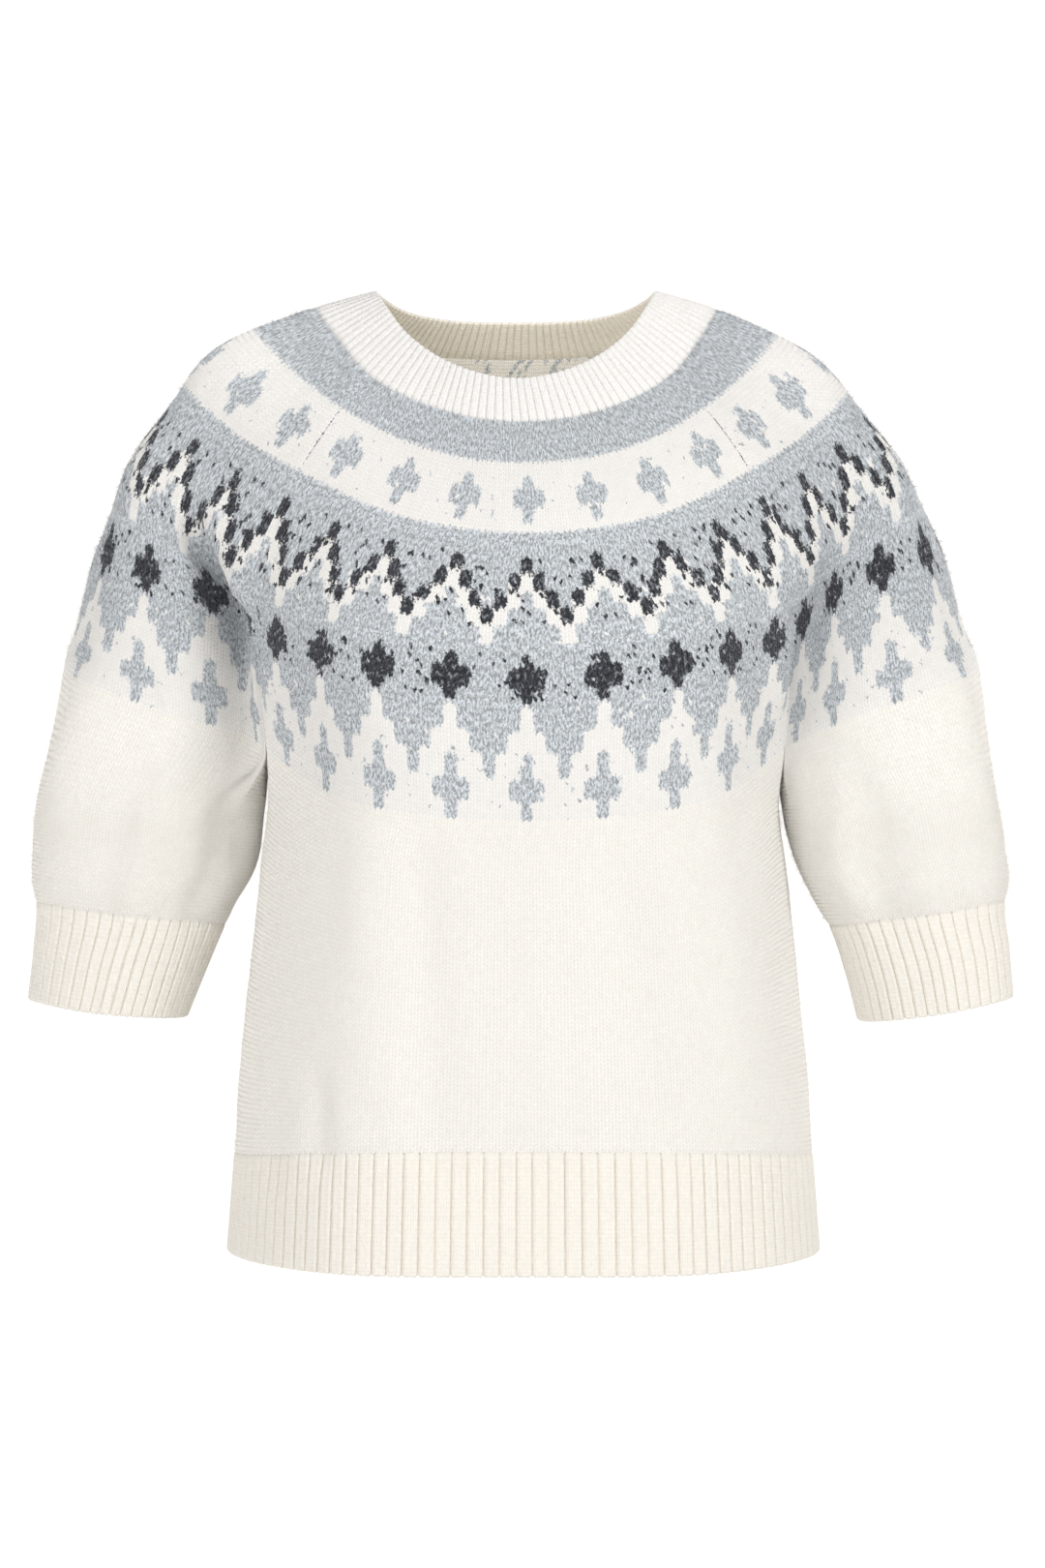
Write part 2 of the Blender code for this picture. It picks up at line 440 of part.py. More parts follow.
def add_wall(bm, outer, inner, used, wrap, flip, weld):
    """Both faces of a wall on a grid, and its rims; used(i, j) says which cells are cloth."""
    R, C = outer.shape[:2]
    index = {}

    def key(i, j):
        if wrap and j == C - 1:
            j = 0
        return weld.get((i, j), (i, j))

    def vert(i, j, layer):
        k = key(i, j) + (layer,)
        if k not in index:
            p = (outer if layer == 0 else inner)[k[0], k[1]]
            index[k] = bm.verts.new((p[0]*MM, p[1]*MM, p[2]*MM))
        return index[k]

    edges = {}
    for i in range(R - 1):
        for j in range(C - 1):
            if not used(i, j):
                continue
            ring = [(i, j), (i + 1, j), (i + 1, j + 1), (i, j + 1)]
            for layer in (0, 1):
                quad = [vert(a, b, layer) for a, b in ring]
                bm.faces.new(quad if (layer == 0) != flip else quad[::-1])
            for a, b in zip(ring, ring[1:] + ring[:1]):
                ka, kb = key(*a), key(*b)
                if (kb, ka) in edges:
                    edges.pop((kb, ka))
                else:
                    edges[(ka, kb)] = True
    for ka, kb in edges:
        a0, b0, a1, b1 = (index[ka + (0,)], index[kb + (0,)], index[ka + (1,)], index[kb + (1,)])
        quad = [b0, a0, a1, b1]
        bm.faces.new(quad if not flip else quad[::-1])


def finish(name, bm, colour, roughness, collection):
    bmesh.ops.recalc_face_normals(bm, faces=bm.faces)
    bmesh.ops.triangulate(bm, faces=bm.faces, quad_method="SHORT_EDGE")
    mesh = bpy.data.meshes.new(name)
    bm.to_mesh(mesh)
    bm.free()
    mesh.shade_smooth()
    mesh.set_sharp_from_angle(angle=math.radians(50))
    material = bpy.data.materials.new(name)
    material.use_nodes = True
    shader = material.node_tree.nodes["Principled BSDF"]
    shader.inputs["Base Color"].default_value = colour + (1.0,)
    shader.inputs["Roughness"].default_value = roughness
    shader.inputs["Metallic"].default_value = 0.0
    mesh.materials.append(material)
    obj = bpy.data.objects.new(name, mesh)
    collection.objects.link(obj)
    return obj


def panel_piece(name, panel, side, cols, rows, thick, colour, collection, gaps=(True, True)):
    """A panel, or the part of one between two rows; above the underarm it stops at the raglan seams."""
    rows, cols = np.array(rows, float), np.array(cols, float)
    outer, inner = wall_points(panel, side, cols, rows, thick, tuple(g or None for g in gaps))
    lo, hi = NODES[panel][0][0], NODES[panel][0][-1]

    def used(i, j):
        above = rows[i + 1] <= UNDER_V + 1e-6
        return not above or (cols[j] >= lo - 1e-6 and cols[j + 1] <= hi + 1e-6)

    weld = {}
    wrap = False
    if panel == "sleeve":
        # below the underarm the sleeve is a tube: its first and last columns are one
        for i, r in enumerate(rows):
            if r >= UNDER_V - 1e-6:
                weld[(i, len(cols) - 1)] = (i, 0)
    bm = bmesh.new()
    add_wall(bm, outer, inner, used, wrap, panel == "sleeve" and side < 0, weld)
    return finish(name, bm, colour, 0.9, collection)


def neckband_piece(name, rows, thick, colour, collection):
    """The neckband runs all the way round: front, left sleeve head, back, right sleeve head."""
    runs = [("front", 1, np.arange(-56, 57, 8.0)), ("sleeve", 1, np.arange(56, 137, 10.0)),
            ("back", 1, np.arange(136, 249, 8.0)), ("sleeve", -1, np.arange(136, 55, -10.0))]
    outer, inner = [], []
    rows = np.array(rows, float)
    for panel, side, cols in runs:
        o = surface(panel, side, cols, rows)
        n, du, dv = outward(panel, side, cols, rows)
        d = dv/np.linalg.norm(dv, axis=-1, keepdims=True)
        o[-1] -= d[-1]*SEAM_GAP/2
        outer.append(o[:, :-1])
        inner.append((o - n*thick)[:, :-1])
    outer, inner = np.concatenate(outer, 1), np.concatenate(inner, 1)
    outer = np.concatenate([outer, outer[:, :1]], 1)
    inner = np.concatenate([inner, inner[:, :1]], 1)
    bm = bmesh.new()
    add_wall(bm, outer, inner, lambda i, j: True, True, False, {})
    return finish(name, bm, colour, 0.9, collection)


# ----------------------------------------------------------------------------
# The sweater
# ----------------------------------------------------------------------------
CREAM = (0.88, 0.84, 0.76)
YOKE_GREY = (0.62, 0.65, 0.69)

YOKE_ROWS = [34, 48, 63, 78, 92, 106, 121, 137, 154, 172, 190, 212, 235, 258, 281]
BODY_ROWS = [291, 301, 318, 336, 362, 390, 415, 440, 462, 484]
SLEEVE_ROWS = [291, 303, 318, 340, 362, 382, 392]
FRONT_COLS = [-65, -60.5, -56, -52, -48, -43, -36, -28, -19, -10, 0]
FRONT_COLS = FRONT_COLS + [-c for c in FRONT_COLS[-2::-1]]
BACK_COLS = [c + 192 for c in FRONT_COLS]
SLEEVE_COLS = [47, 51.5, 56, 60, 65, 71, 78, 86, 96, 106, 114, 121, 127, 132, 136, 140.5, 145]


def main():
    for obj in list(bpy.data.objects):
        bpy.data.objects.remove(obj, do_unlink=True)
    collection = bpy.data.collections.new("nordic_yoke_sweater")
    bpy.context.scene.collection.children.link(collection)

    neckband_piece("neckband", [0, 11, 22, 34], RIB_WALL, CREAM, collection)
    panel_piece("front", "front", 1, FRONT_COLS, YOKE_ROWS + BODY_ROWS, WALL, CREAM, collection)
    panel_piece("back", "back", 1, BACK_COLS, YOKE_ROWS + BODY_ROWS, WALL, CREAM, collection)
    for side, end in ((1, "left"), (-1, "right")):
        panel_piece("sleeve_" + end, "sleeve", side, SLEEVE_COLS, YOKE_ROWS + SLEEVE_ROWS, WALL, CREAM, collection)
        panel_piece("cuff_" + end, "sleeve", side, SLEEVE_COLS, [392, 406, 420, 436, 452], RIB_WALL, CREAM,
                    collection, gaps=(True, False))
    panel_piece("hem_rib_front", "front", 1, FRONT_COLS, [484, 509, 534, 559], RIB_WALL, CREAM, collection,
                gaps=(True, False))
    panel_piece("hem_rib_back", "back", 1, BACK_COLS, [484, 509, 534, 559], RIB_WALL, CREAM, collection,
                gaps=(True, False))


main()
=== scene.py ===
import bpy
import math
import numpy as np
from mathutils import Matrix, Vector


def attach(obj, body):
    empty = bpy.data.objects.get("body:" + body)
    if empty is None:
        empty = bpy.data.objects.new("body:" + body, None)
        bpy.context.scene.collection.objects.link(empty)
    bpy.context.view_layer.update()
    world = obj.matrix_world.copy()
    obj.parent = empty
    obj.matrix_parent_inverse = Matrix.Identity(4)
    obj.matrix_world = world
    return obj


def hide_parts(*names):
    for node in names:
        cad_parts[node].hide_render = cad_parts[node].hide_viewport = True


# Nordic yoke sweater: the looks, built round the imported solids.
# Lengths in the tables are millimetres, as in the part; meshes are in metres.

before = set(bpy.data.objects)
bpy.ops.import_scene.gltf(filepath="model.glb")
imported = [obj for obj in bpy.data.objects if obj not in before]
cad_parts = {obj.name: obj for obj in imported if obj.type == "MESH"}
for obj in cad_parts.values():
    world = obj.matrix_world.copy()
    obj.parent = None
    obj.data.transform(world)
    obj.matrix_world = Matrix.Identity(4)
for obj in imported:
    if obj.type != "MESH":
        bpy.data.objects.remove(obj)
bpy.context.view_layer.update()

# ----------------------------------------------------------------------------
# Sizes, in millimetres.  +X is the wearer's left, -Y the front, +Z up.
# The origin is the middle of the neck at the height of the side neck points.
# ----------------------------------------------------------------------------

# One row per ring of the yoke, from the neck edge down to the underarm.
# v is the length of fabric down the centre front; each (x, y, z) is the place
# of one column of stitches on the wearer's left, mirrored for the right:
#   cf, cb  centre front, centre back (y, z)      f, b   middle of the front and back panels
#   rf, rb  front and back raglan seams           s1, sh, s2   front, top and back of the sleeve head
# lean shifts the whole ring sideways, turn_f and turn_s turn the knitting on
# the front and on the sleeves, low drops the left shoulder, deep sets the
# front seams back and fold is how sharply the seams fold in (0 smooth, 1 a crease), each (left, right);
# tuck is how far the right sleeve is pushed under beside its front seam, (to the seam, back).
YOKE = [
    dict(ring="neck_edge",   v=0,   cf=(-60, -60),   f=(39, -53, -51),    rf=(69, -34, -30),   s1=(83, -15, -11),   sh=(88.5, 5, -1),    s2=(84, 27, -4),    rb=(71, 47, -10),   b=(42, 64, -15),    cb=(70, -16),   lean=-5, turn_f=1, turn_s=0,  low=0, deep=(0, 0),     fold=(0, 0),      tuck=(0, 0)),
    dict(ring="neck_seam",   v=34,  cf=(-78, -88),   f=(51, -70, -80),    rf=(95, -48, -57),   s1=(115, -24, -32),  sh=(128, 4, -12),    s2=(119, 35, -19),  rb=(97, 63, -32),   b=(52, 84, -37),    cb=(90, -39),   lean=-5, turn_f=4, turn_s=0,  low=1, deep=(0, 0),     fold=(0, 0),      tuck=(0, 0)),
    dict(ring="white_cross", v=78,  cf=(-102, -133), f=(66, -91, -124),   rf=(125, -69, -95),  s1=(161, -46, -70),  sh=(190, -12, -39),  s2=(168, 42, -46),  rb=(128, 68, -69),  b=(68, 99, -78),    cb=(105, -80),  lean=-5, turn_f=8, turn_s=-1, low=5, deep=(0, 0),     fold=(0, 0),      tuck=(0, 0)),
    dict(ring="zigzag_top",  v=121, cf=(-117, -175), f=(84, -103, -164),  rf=(150, -68, -136), s1=(190, -44, -110), sh=(222, -16, -80),  s2=(211, 42, -84),  rb=(152, 66, -107), b=(84, 107, -117),  cb=(114, -121), lean=-4, turn_f=6, turn_s=-2, low=4, deep=(-2, 0),    fold=(0.1, 0.2),  tuck=(0, 0)),
    dict(ring="zigzag_foot", v=154, cf=(-125, -208), f=(97, -111, -197),  rf=(168, -62, -176), s1=(207, -50, -150), sh=(245, -26, -116), s2=(235, 42, -118), rb=(165, 58, -142), b=(96, 110, -150),  cb=(118, -155), lean=-4, turn_f=6, turn_s=-4, low=2, deep=(-8, -2),   fold=(0.25, 0.6), tuck=(2, 9)),
    dict(ring="dark_cross",  v=190, cf=(-130, -244), f=(104, -116, -232), rf=(169, -40, -214), s1=(208, -54, -185), sh=(257, -38, -164), s2=(259, 42, -158), rb=(168, 48, -182), b=(103, 110, -187), cb=(119, -191), lean=-3, turn_f=5, turn_s=-5, low=0, deep=(-15, -12), fold=(0.5, 1.0),  tuck=(12, 42)),
    dict(ring="grey_cross",  v=258, cf=(-132, -311), f=(103, -118, -300), rf=(165, -28, -268), s1=(210, -53, -250), sh=(274, -38, -228), s2=(276, 44, -222), rb=(166, 42, -254), b=(102, 109, -257), cb=(118, -259), lean=-2, turn_f=4, turn_s=-5, low=0, deep=(-20, -20), fold=(0.7, 1.0),  tuck=(10, 33)),
    dict(ring="underarm",    v=281, cf=(-132, -334), f=(103, -118, -324), rf=(163, -28, -292), s1=(210, -51, -274), sh=(281, -36, -248), s2=(281, 44, -242), rb=(163, 40, -290), b=(102, 109, -280), cb=(118, -282), lean=-1, turn_f=3, turn_s=-5, low=0, deep=(-19, -18), fold=(0.8, 1.0),  tuck=(8, 26)),
]
UNDERARM_POINT = dict(x=162, y=(4, 5), z=-296)      # middle of the short underarm seam, (left, right)

# One row per ring of the body below the underarm.
BODY = [
    dict(ring="chest",   v=306, z=-325, half_width=161.8, front=132,   back=118,   square=3.0,  front_z=-34, back_z=8),
    dict(ring="high",    v=336, z=-362, half_width=166.1, front=132,   back=117,   square=3.1,  front_z=-27, back_z=9),
    dict(ring="waist",   v=390, z=-430, half_width=173.3, front=133,   back=117,   square=3.1,  front_z=-13, back_z=5),
    dict(ring="hip",     v=440, z=-493, half_width=179.6, front=135.5, back=119.5, square=3.05, front_z=0,   back_z=6),
    dict(ring="rib_top", v=484, z=-549, half_width=183.8, front=137.5, back=121.5, square=3.0,  front_z=14,  back_z=12),
    dict(ring="hem",     v=559, z=-611, half_width=188.8, front=142,   back=125,   square=2.9,  front_z=0,   back_z=2),
]

# One row per ring of the sleeves; where the two sleeves differ, (left, right) of the wearer.
# turn is how far the top of the sleeve is turned to the front, in degrees round the tube.
SLEEVE = [
    dict(ring="upper",    v=318, z=-322, inner=(166, 165),   outer=(308, 313),     front=-56, back=50, tilt=(9, 9),   turn=26, corner=(3.5, 1.60)),
    dict(ring="elbow",    v=362, z=-364, inner=(178, 173),   outer=(312, 316),     front=-55, back=49, tilt=(8, 8),   turn=22, corner=(3.5, 1.60)),
    dict(ring="over_rib", v=382, z=-386, inner=(189, 185),   outer=(313, 315.5),   front=-54, back=47, tilt=(8, 7),   turn=20, corner=(3.0, 1.65)),
    dict(ring="cuff_top", v=392, z=-397, inner=(195, 190),   outer=(310.5, 313.5), front=-51, back=45, tilt=(8, 7),   turn=20, corner=(2.8, 1.70)),
    dict(ring="cuff_mid", v=420, z=-428, inner=(206, 203),   outer=(312.5, 314.5), front=-51, back=48, tilt=(9, 7),   turn=18, corner=(2.6, 1.75)),
    dict(ring="cuff",     v=452, z=-459, inner=(214, 215.5), outer=(315, 318),     front=-52, back=50, tilt=(9, 7),   turn=18, corner=(2.5, 1.80)),
]
SLEEVE_SQUARE = 2.15       # how square the section of a sleeve is; corner says it for the quarter beside the body in front

# Stitch columns, counted from the centre front (384 in the round at the underarm).
COLUMN = dict(cf=0, f=28, rf=56, s1=76, sh=96, s2=116, rb=136, b=164, cb=192)
ROUND = 384
TUCK_AT = (56, 66, 80)       # columns where the tuck beside the right front seam starts, is deepest and ends
GUSSET = 9                 # extra columns each side of the underarm seam


# ----------------------------------------------------------------------------
# Rings
# ----------------------------------------------------------------------------
def landmark(row, name, side):
    """Place of a stitch column on a yoke ring; side is 1 for the wearer's left, -1 for the right."""
    t = row[name]
    x, y, z = (0.0, t[0], t[1]) if len(t) == 2 else t
    lean, tf, ts, low = row["lean"], row["turn_f"], row["turn_s"], row["low"]
    move = dict(cf=(tf, 0), f=(tf, 0), rf=(0.7*tf, row["deep"][int(side < 0)]), s1=(0.4*tf + ts, 0), sh=(0.4*ts, 1.2*ts*side),
                s2=(0, ts*side), rb=(-0.4*tf, 0), b=(-0.6*tf, 0), cb=(-0.6*tf, 0))[name]
    drop = {"s1": 0.5, "sh": 1.0, "s2": 0.8}.get(name, 0.0)*low*(side > 0)
    return np.array([side*x + lean + move[0], y + move[1], z - drop])


def half_round(f, wide, front, back, square):
    """Point at the fraction f of a half round by arc length: 0 centre front, 1 side, 2 centre back."""
    t = np.linspace(0, math.pi, 721)
    x = wide*np.abs(np.sin(t))**(2/square)
    y = np.where(np.cos(t) > 0, -front, back)*np.abs(np.cos(t))**(2/square)
    length = np.concatenate([[0], np.cumsum(np.hypot(np.diff(x), np.diff(y)))])
    lf, lb = length[360], length[-1] - length[360]
    at = f*lf if f <= 1 else lf + (f - 1)*lb
    return float(np.interp(at, length, x)), float(np.interp(at, length, y))


def body_point(row, col, side):
    """col counts columns from the centre front, 0 to twice the 65 of a quarter."""
    x, y = half_round(col/(56 + GUSSET), row["half_width"], row["front"], row["back"], row["square"])
    dz = row["front_z"]*(y/row["front"])**2 if y < 0 else row["back_z"]*(y/row["back"])**2
    return np.array([side*x, y, row["z"] + dz])


def sleeve_point(row, col, side):
    """col counts columns round the tube from the underarm, to the front first."""
    k = 0 if side > 0 else 1
    x0, x1 = row["inner"][k], row["outer"][k]
    cx, w = (x0 + x1)/2, (x1 - x0)/2
    cy, d = (row["front"] + row["back"])/2, (row["back"] - row["front"])/2
    t = np.linspace(0, 2*math.pi, 1441)
    p = np.where(t < math.pi/2, 2/row["corner"][k], 2/SLEEVE_SQUARE)
    x = -w*np.sign(np.cos(t))*np.abs(np.cos(t))**p
    y = -d*np.sign(np.sin(t))*np.abs(np.sin(t))**p
    length = np.concatenate([[0], np.cumsum(np.hypot(np.diff(x), np.diff(y)))])
    f = col/(80 + 2*GUSSET)
    at = f*length[-1] - row["turn"]/360*length[-1]*math.sin(math.pi*f)
    xx, yy = np.interp(at, length, x), np.interp(at, length, y)
    tilt = math.radians(row["tilt"][k])
    return np.array([side*(cx + xx*math.cos(tilt)), cy + yy, row["z"] + xx*math.sin(tilt)])


def slopes(p, s, before, after):
    """Tangent per column at each point of a run, with the point before it and the one after."""
    pp = [before[0]] + list(p) + [after[0]]
    ss = [before[1]] + list(s) + [after[1]]
    out = []
    for i in range(1, len(pp) - 1):
        ha, hb = ss[i] - ss[i-1], ss[i+1] - ss[i]
        out.append(((pp[i] - pp[i-1])/ha*hb + (pp[i+1] - pp[i])/hb*ha)/(ha + hb))
    return np.array(out)


def end_slope(p, s, i, j, tj):
    """Free-end tangent at point i of a run that comes from point j with the tangent tj."""
    return 1.5*(p[i] - p[j])/(s[i] - s[j]) - 0.5*tj


# Columns of each panel's landmarks, above and below the underarm.
G = GUSSET
NODES = dict(
    front=([-56, -28, 0, 28, 56], [-56-G, -56, -28, 0, 28, 56, 56+G]),
    back=([136, 164, 192, 220, 248], [136-G, 136, 164, 192, 220, 248, 248+G]),
    sleeve=([56, 76, 96, 116, 136], [56-G, 56, 76, 96, 116, 136, 136+G]))
UNDERARM_V = YOKE[-1]["v"]
HALF = ("cf", "f", "rf", "s1", "sh", "s2", "rb", "b", "cb")


def yoke_row(row, panel, side):
    """Columns, points and tangents (arriving, leaving) of one panel on a yoke ring."""
    pos = {s: {n: landmark(row, n, s) for n in HALF} for s in (1, -1)}
    loop = sorted((COLUMN[n]*s, n, s) for s in (1, -1) for n in HALF if s > 0 or n not in ("cf", "cb"))
    s_ = [float(c) for c, n, s in loop]
    p_ = [pos[s][n] for c, n, s in loop]
    t_ = slopes(p_, s_, (p_[-1], s_[-1] - ROUND), (p_[0], s_[0] + ROUND))
    at = {(n, s): i for i, (c, n, s) in enumerate(loop)}
    at[("cf", -1)], at[("cb", -1)] = at[("cf", 1)], at[("cb", 1)]
    names = dict(front=("rf", "f", "cf", "f", "rf"), back=("rb", "b", "cb", "b", "rb"),
                 sleeve=("rf", "s1", "sh", "s2", "rb"))[panel]
    sides = dict(front=(-1, -1, 1, 1, 1), back=(1, 1, 1, -1, -1), sleeve=(side,)*5)[panel]
    i = [at[(n, s)] for n, s in zip(names, sides)]
    pts = [p_[k] for k in i]
    tan = [t_[k] for k in i]
    fold = [row["fold"][int(sides[k] < 0)] for k in (0, -1)]
    tan[0] = (1 - fold[0])*tan[0] + fold[0]*end_slope(p_, s_, i[0], i[1], t_[i[1]])
    tan[-1] = (1 - fold[1])*tan[-1] + fold[1]*end_slope(p_, s_, i[-1], i[-2], t_[i[-2]])
    if panel == "sleeve" and side < 0:
        tan = [-t for t in tan]
    cols = np.array(NODES[panel][0], float)
    pts, tan = np.array(pts), np.array(tan)
    if row["v"] < UNDERARM_V:
        return cols, pts, tan, tan
    # the underarm ring goes on past the seam columns to the middle of the underarm
    u = UNDERARM_POINT
    um = {s: np.array([s*u["x"] + row["lean"], u["y"][int(s < 0)], u["z"]], float) for s in (1, -1)}
    first, last = (um[-1], um[1]) if panel == "front" else (um[1], um[-1]) if panel == "back" else (um[side],)*2
    back_first, back_last = dict(front=(pos[-1]["rb"], pos[1]["rb"]), back=(pos[1]["rf"], pos[-1]["rf"]),
                                 sleeve=(pos[side]["rb"], pos[side]["rf"]))[panel]
    pts = np.array([first] + list(pts) + [last])
    mid0, mid1 = (pts[1] - back_first)/(2*G), (back_last - pts[-2])/(2*G)
    arrive = np.array([mid0, (pts[1] - first)/G] + list(tan[1:]) + [mid1])
    leave = np.array([mid0] + list(tan[:-1]) + [(last - pts[-2])/G, mid1])
    return np.array(NODES[panel][1], float), pts, arrive, leave


def tube_row(row, panel, side):
    """The same for a ring of the body or of a sleeve."""
    q = 56 + G
    if panel == "sleeve":
        pts = [sleeve_point(row, c, side) for c in (0, G, G + 20, G + 40, G + 60, G + 80, 2*G + 80)]
        ends = pts[-2], pts[1]
    elif panel == "front":
        pts = [body_point(row, c, s) for c, s in ((q, -1), (56, -1), (28, -1), (0, 1), (28, 1), (56, 1), (q, 1))]
        ends = body_point(row, q + G, -1), body_point(row, q + G, 1)
    else:
        pts = [body_point(row, c, s) for c, s in ((q, 1), (q + G, 1), (q + G + 28, 1), (2*q, 1),
                                                   (q + G + 28, -1), (q + G, -1), (q, -1))]
        ends = body_point(row, q - G, 1), body_point(row, q - G, -1)
    s_ = [float(c) for c in NODES[panel][1]]
    t_ = slopes(pts, s_, (ends[0], s_[0] - G), (ends[1], s_[-1] + G))
    return np.array(s_), np.array(pts), t_, t_


def panel_rows(panel, side):
    tubes = SLEEVE if panel == "sleeve" else BODY
    return [(r["v"],) + yoke_row(r, panel, side) for r in YOKE] + [(r["v"],) + tube_row(r, panel, side) for r in tubes]


def hermite(t, p0, m0, p1, m1, h):
    t2, t3 = t*t, t*t*t
    return (2*t3 - 3*t2 + 1)*p0 + (t3 - 2*t2 + t)*h*m0 + (-2*t3 + 3*t2)*p1 + (t3 - t2)*h*m1


def along(nodes, p, arrive, leave, s):
    """Cubic through the points p, read at the values s."""
    i = np.clip(np.searchsorted(nodes, s, side="right") - 1, 0, len(nodes) - 2)
    h = nodes[i+1] - nodes[i]
    t = (s - nodes[i])/h
    sh = (-1,) + (1,)*(p.ndim - 1)
    return hermite(t.reshape(sh), p[i], leave[i], p[i+1], arrive[i+1], h.reshape(sh))


def surface(panel, side, cols, rows):
    """Points of a panel's outer face without its folds, [len(rows), len(cols), 3] in mm."""
    rings = panel_rows(panel, side)
    cols, rows = np.asarray(cols, float), np.asarray(rows, float)
    v = np.array([r[0] for r in rings], float)
    K = len(rings)
    ks = len(YOKE) - 1
    lo, hi = NODES[panel][0][0], NODES[panel][0][-1]
    inside = np.clip(cols, lo, hi)

    def read(c):
        P = np.empty((K, len(c), 3))
        for k, (_, s, p, arrive, leave) in enumerate(rings):
            P[k] = along(s, p, arrive, leave, np.clip(c, s[0], s[-1]))
            if panel == "sleeve" and side < 0 and k < len(YOKE):
                w = np.where(c < TUCK_AT[1], (c - TUCK_AT[0])/(TUCK_AT[1] - TUCK_AT[0]), (TUCK_AT[2] - c)/(TUCK_AT[2] - TUCK_AT[1]))
                w = np.clip(w, 0, 1)
                w = w*w*(3 - 2*w)
                P[k] += w[:, None]*np.array([*YOKE[k]["tuck"], 0.0])
        return P

    def down(P, c):
        M = np.empty_like(P)
        M[0], M[-1] = (P[1] - P[0])/(v[1] - v[0]), (P[-1] - P[-2])/(v[-1] - v[-2])
        for k in range(1, K - 1):
            ha, hb = v[k] - v[k-1], v[k+1] - v[k]
            M[k] = ((P[k] - P[k-1])/ha*hb + (P[k+1] - P[k])/hb*ha)/(ha + hb)
        # the seams run straight into the underarm point
        w = np.clip(1 - np.minimum(c - lo, hi - c)/14, 0, 1)[:, None]**2
        M[ks] += w*((P[ks] - P[ks-1])/(v[ks] - v[ks-1]) - M[ks])
        return M

    P = read(cols)
    M = down(P, inside)
    out = np.abs(cols - inside) > 1e-9
    if out.any():
        Pc = read(inside[out])
        Mc = down(Pc, inside[out])
        hb = v[ks+1] - v[ks]
        w = ((1 - np.abs(cols[out] - inside[out])/G)**2)[:, None]
        M[ks, out] = (P[ks+1, out] - P[ks, out])/hb + (Mc[ks] - (Pc[ks+1] - Pc[ks])/hb)*w
    return along(v, P, M, M, rows)


# Soft folds.  Each is a ridge (high > 0) or a trough along a line of columns and rows from a to b;
# width is in mm, steep the part of it on the side of the higher columns, or on the other if negative.
FOLDS = [
    # side: 1 the wearer's left, -1 the right; col counts from the centre front, -56..56 on the front
    dict(fold="armpit_edge_r",  panel="front",  side=0,  a=(-49, 172), b=(-50, 268), width=17, high=3.0),
    dict(fold="armpit_edge_l",  panel="front",  side=0,  a=(50, 160),  b=(52, 262),  width=15, high=4.0),
    dict(fold="armpit_rim_r",   panel="sleeve", side=-1, a=(72, 143),  b=(57.5, 182), width=15, high=7.5, steep=0.36),
    dict(fold="armpit_dip_r",   panel="sleeve", side=-1, a=(79, 150),  b=(64, 184),  width=12, high=-10.0),
    dict(fold="armpit_deep_r",  panel="sleeve", side=-1, a=(67, 190),  b=(66, 262),  width=8,  high=-2.0),
    dict(fold="armpit_dip_l",   panel="sleeve", side=1,  a=(70, 160),  b=(60, 264),  width=15, high=-2.0),
    dict(fold="front_ridge_r",  panel="front",  side=0,  a=(-26, 270), b=(-23, 462), width=18, high=1.5),
    dict(fold="front_trough_r", panel="front",  side=0,  a=(-16, 282), b=(-12, 500), width=14, high=-6.5),
    dict(fold="front_ridge_c",  panel="front",  side=0,  a=(-1, 300),  b=(2, 490),   width=22, high=2.5),
    dict(fold="front_trough_l", panel="front",  side=0,  a=(14, 286),  b=(21, 486),  width=17, high=-5.0),
    dict(fold="front_ridge_l",  panel="front",  side=0,  a=(31, 260),  b=(35, 474),  width=24, high=2.2),
    dict(fold="side_trough_l",  panel="front",  side=0,  a=(52, 297),  b=(48, 433),  width=18, high=-3.0),
    dict(fold="rib_dent_r",     panel="front",  side=0,  a=(-32, 432), b=(-30, 500), width=9,  high=-2.2),
    dict(fold="rib_dent_side",  panel="front",  side=0,  a=(-42, 438), b=(-40, 510), width=9,  high=-2.0),
    dict(fold="back_ridge_l",   panel="back",   side=0,  a=(150, 230), b=(163, 456), width=26, high=4.0),
    dict(fold="back_trough_l",  panel="back",   side=0,  a=(168, 260), b=(177, 476), width=20, high=-3.5),
    dict(fold="back_ridge_c",   panel="back",   side=0,  a=(190, 289), b=(193, 464), width=24, high=3.0),
    dict(fold="back_trough_r",  panel="back",   side=0,  a=(214, 270), b=(206, 472), width=20, high=-4.0),
    dict(fold="back_ridge_r",   panel="back",   side=0,  a=(233, 220), b=(222, 448), width=26, high=4.0),
    dict(fold="back_armpit_l",  panel="sleeve", side=1,  a=(118, 170), b=(132, 262), width=15, high=-5.0),
    dict(fold="back_armpit_r",  panel="sleeve", side=-1, a=(120, 165), b=(132, 262), width=15, high=-6.0),
    dict(fold="sleeve_dent_l",  panel="sleeve", side=1,  a=(75, 318),  b=(68, 400),  width=12, high=-4.0),
    dict(fold="sleeve_ridge_l", panel="sleeve", side=1,  a=(70, 296),  b=(62, 390),  width=11, high=3.5),
    dict(fold="sleeve_dent_r",  panel="sleeve", side=-1, a=(59, 284),  b=(60, 404),  width=14, high=-4.5),
    dict(fold="sleeve_ridge_r", panel="sleeve", side=-1, a=(75, 286),  b=(72, 404),  width=14, high=3.5),
]
COLUMN_WIDTH = 3.6         # mm of one column, used only for the widths of folds
FOLD_CLEAR = 9             # mm over which a fold dies out at a seam


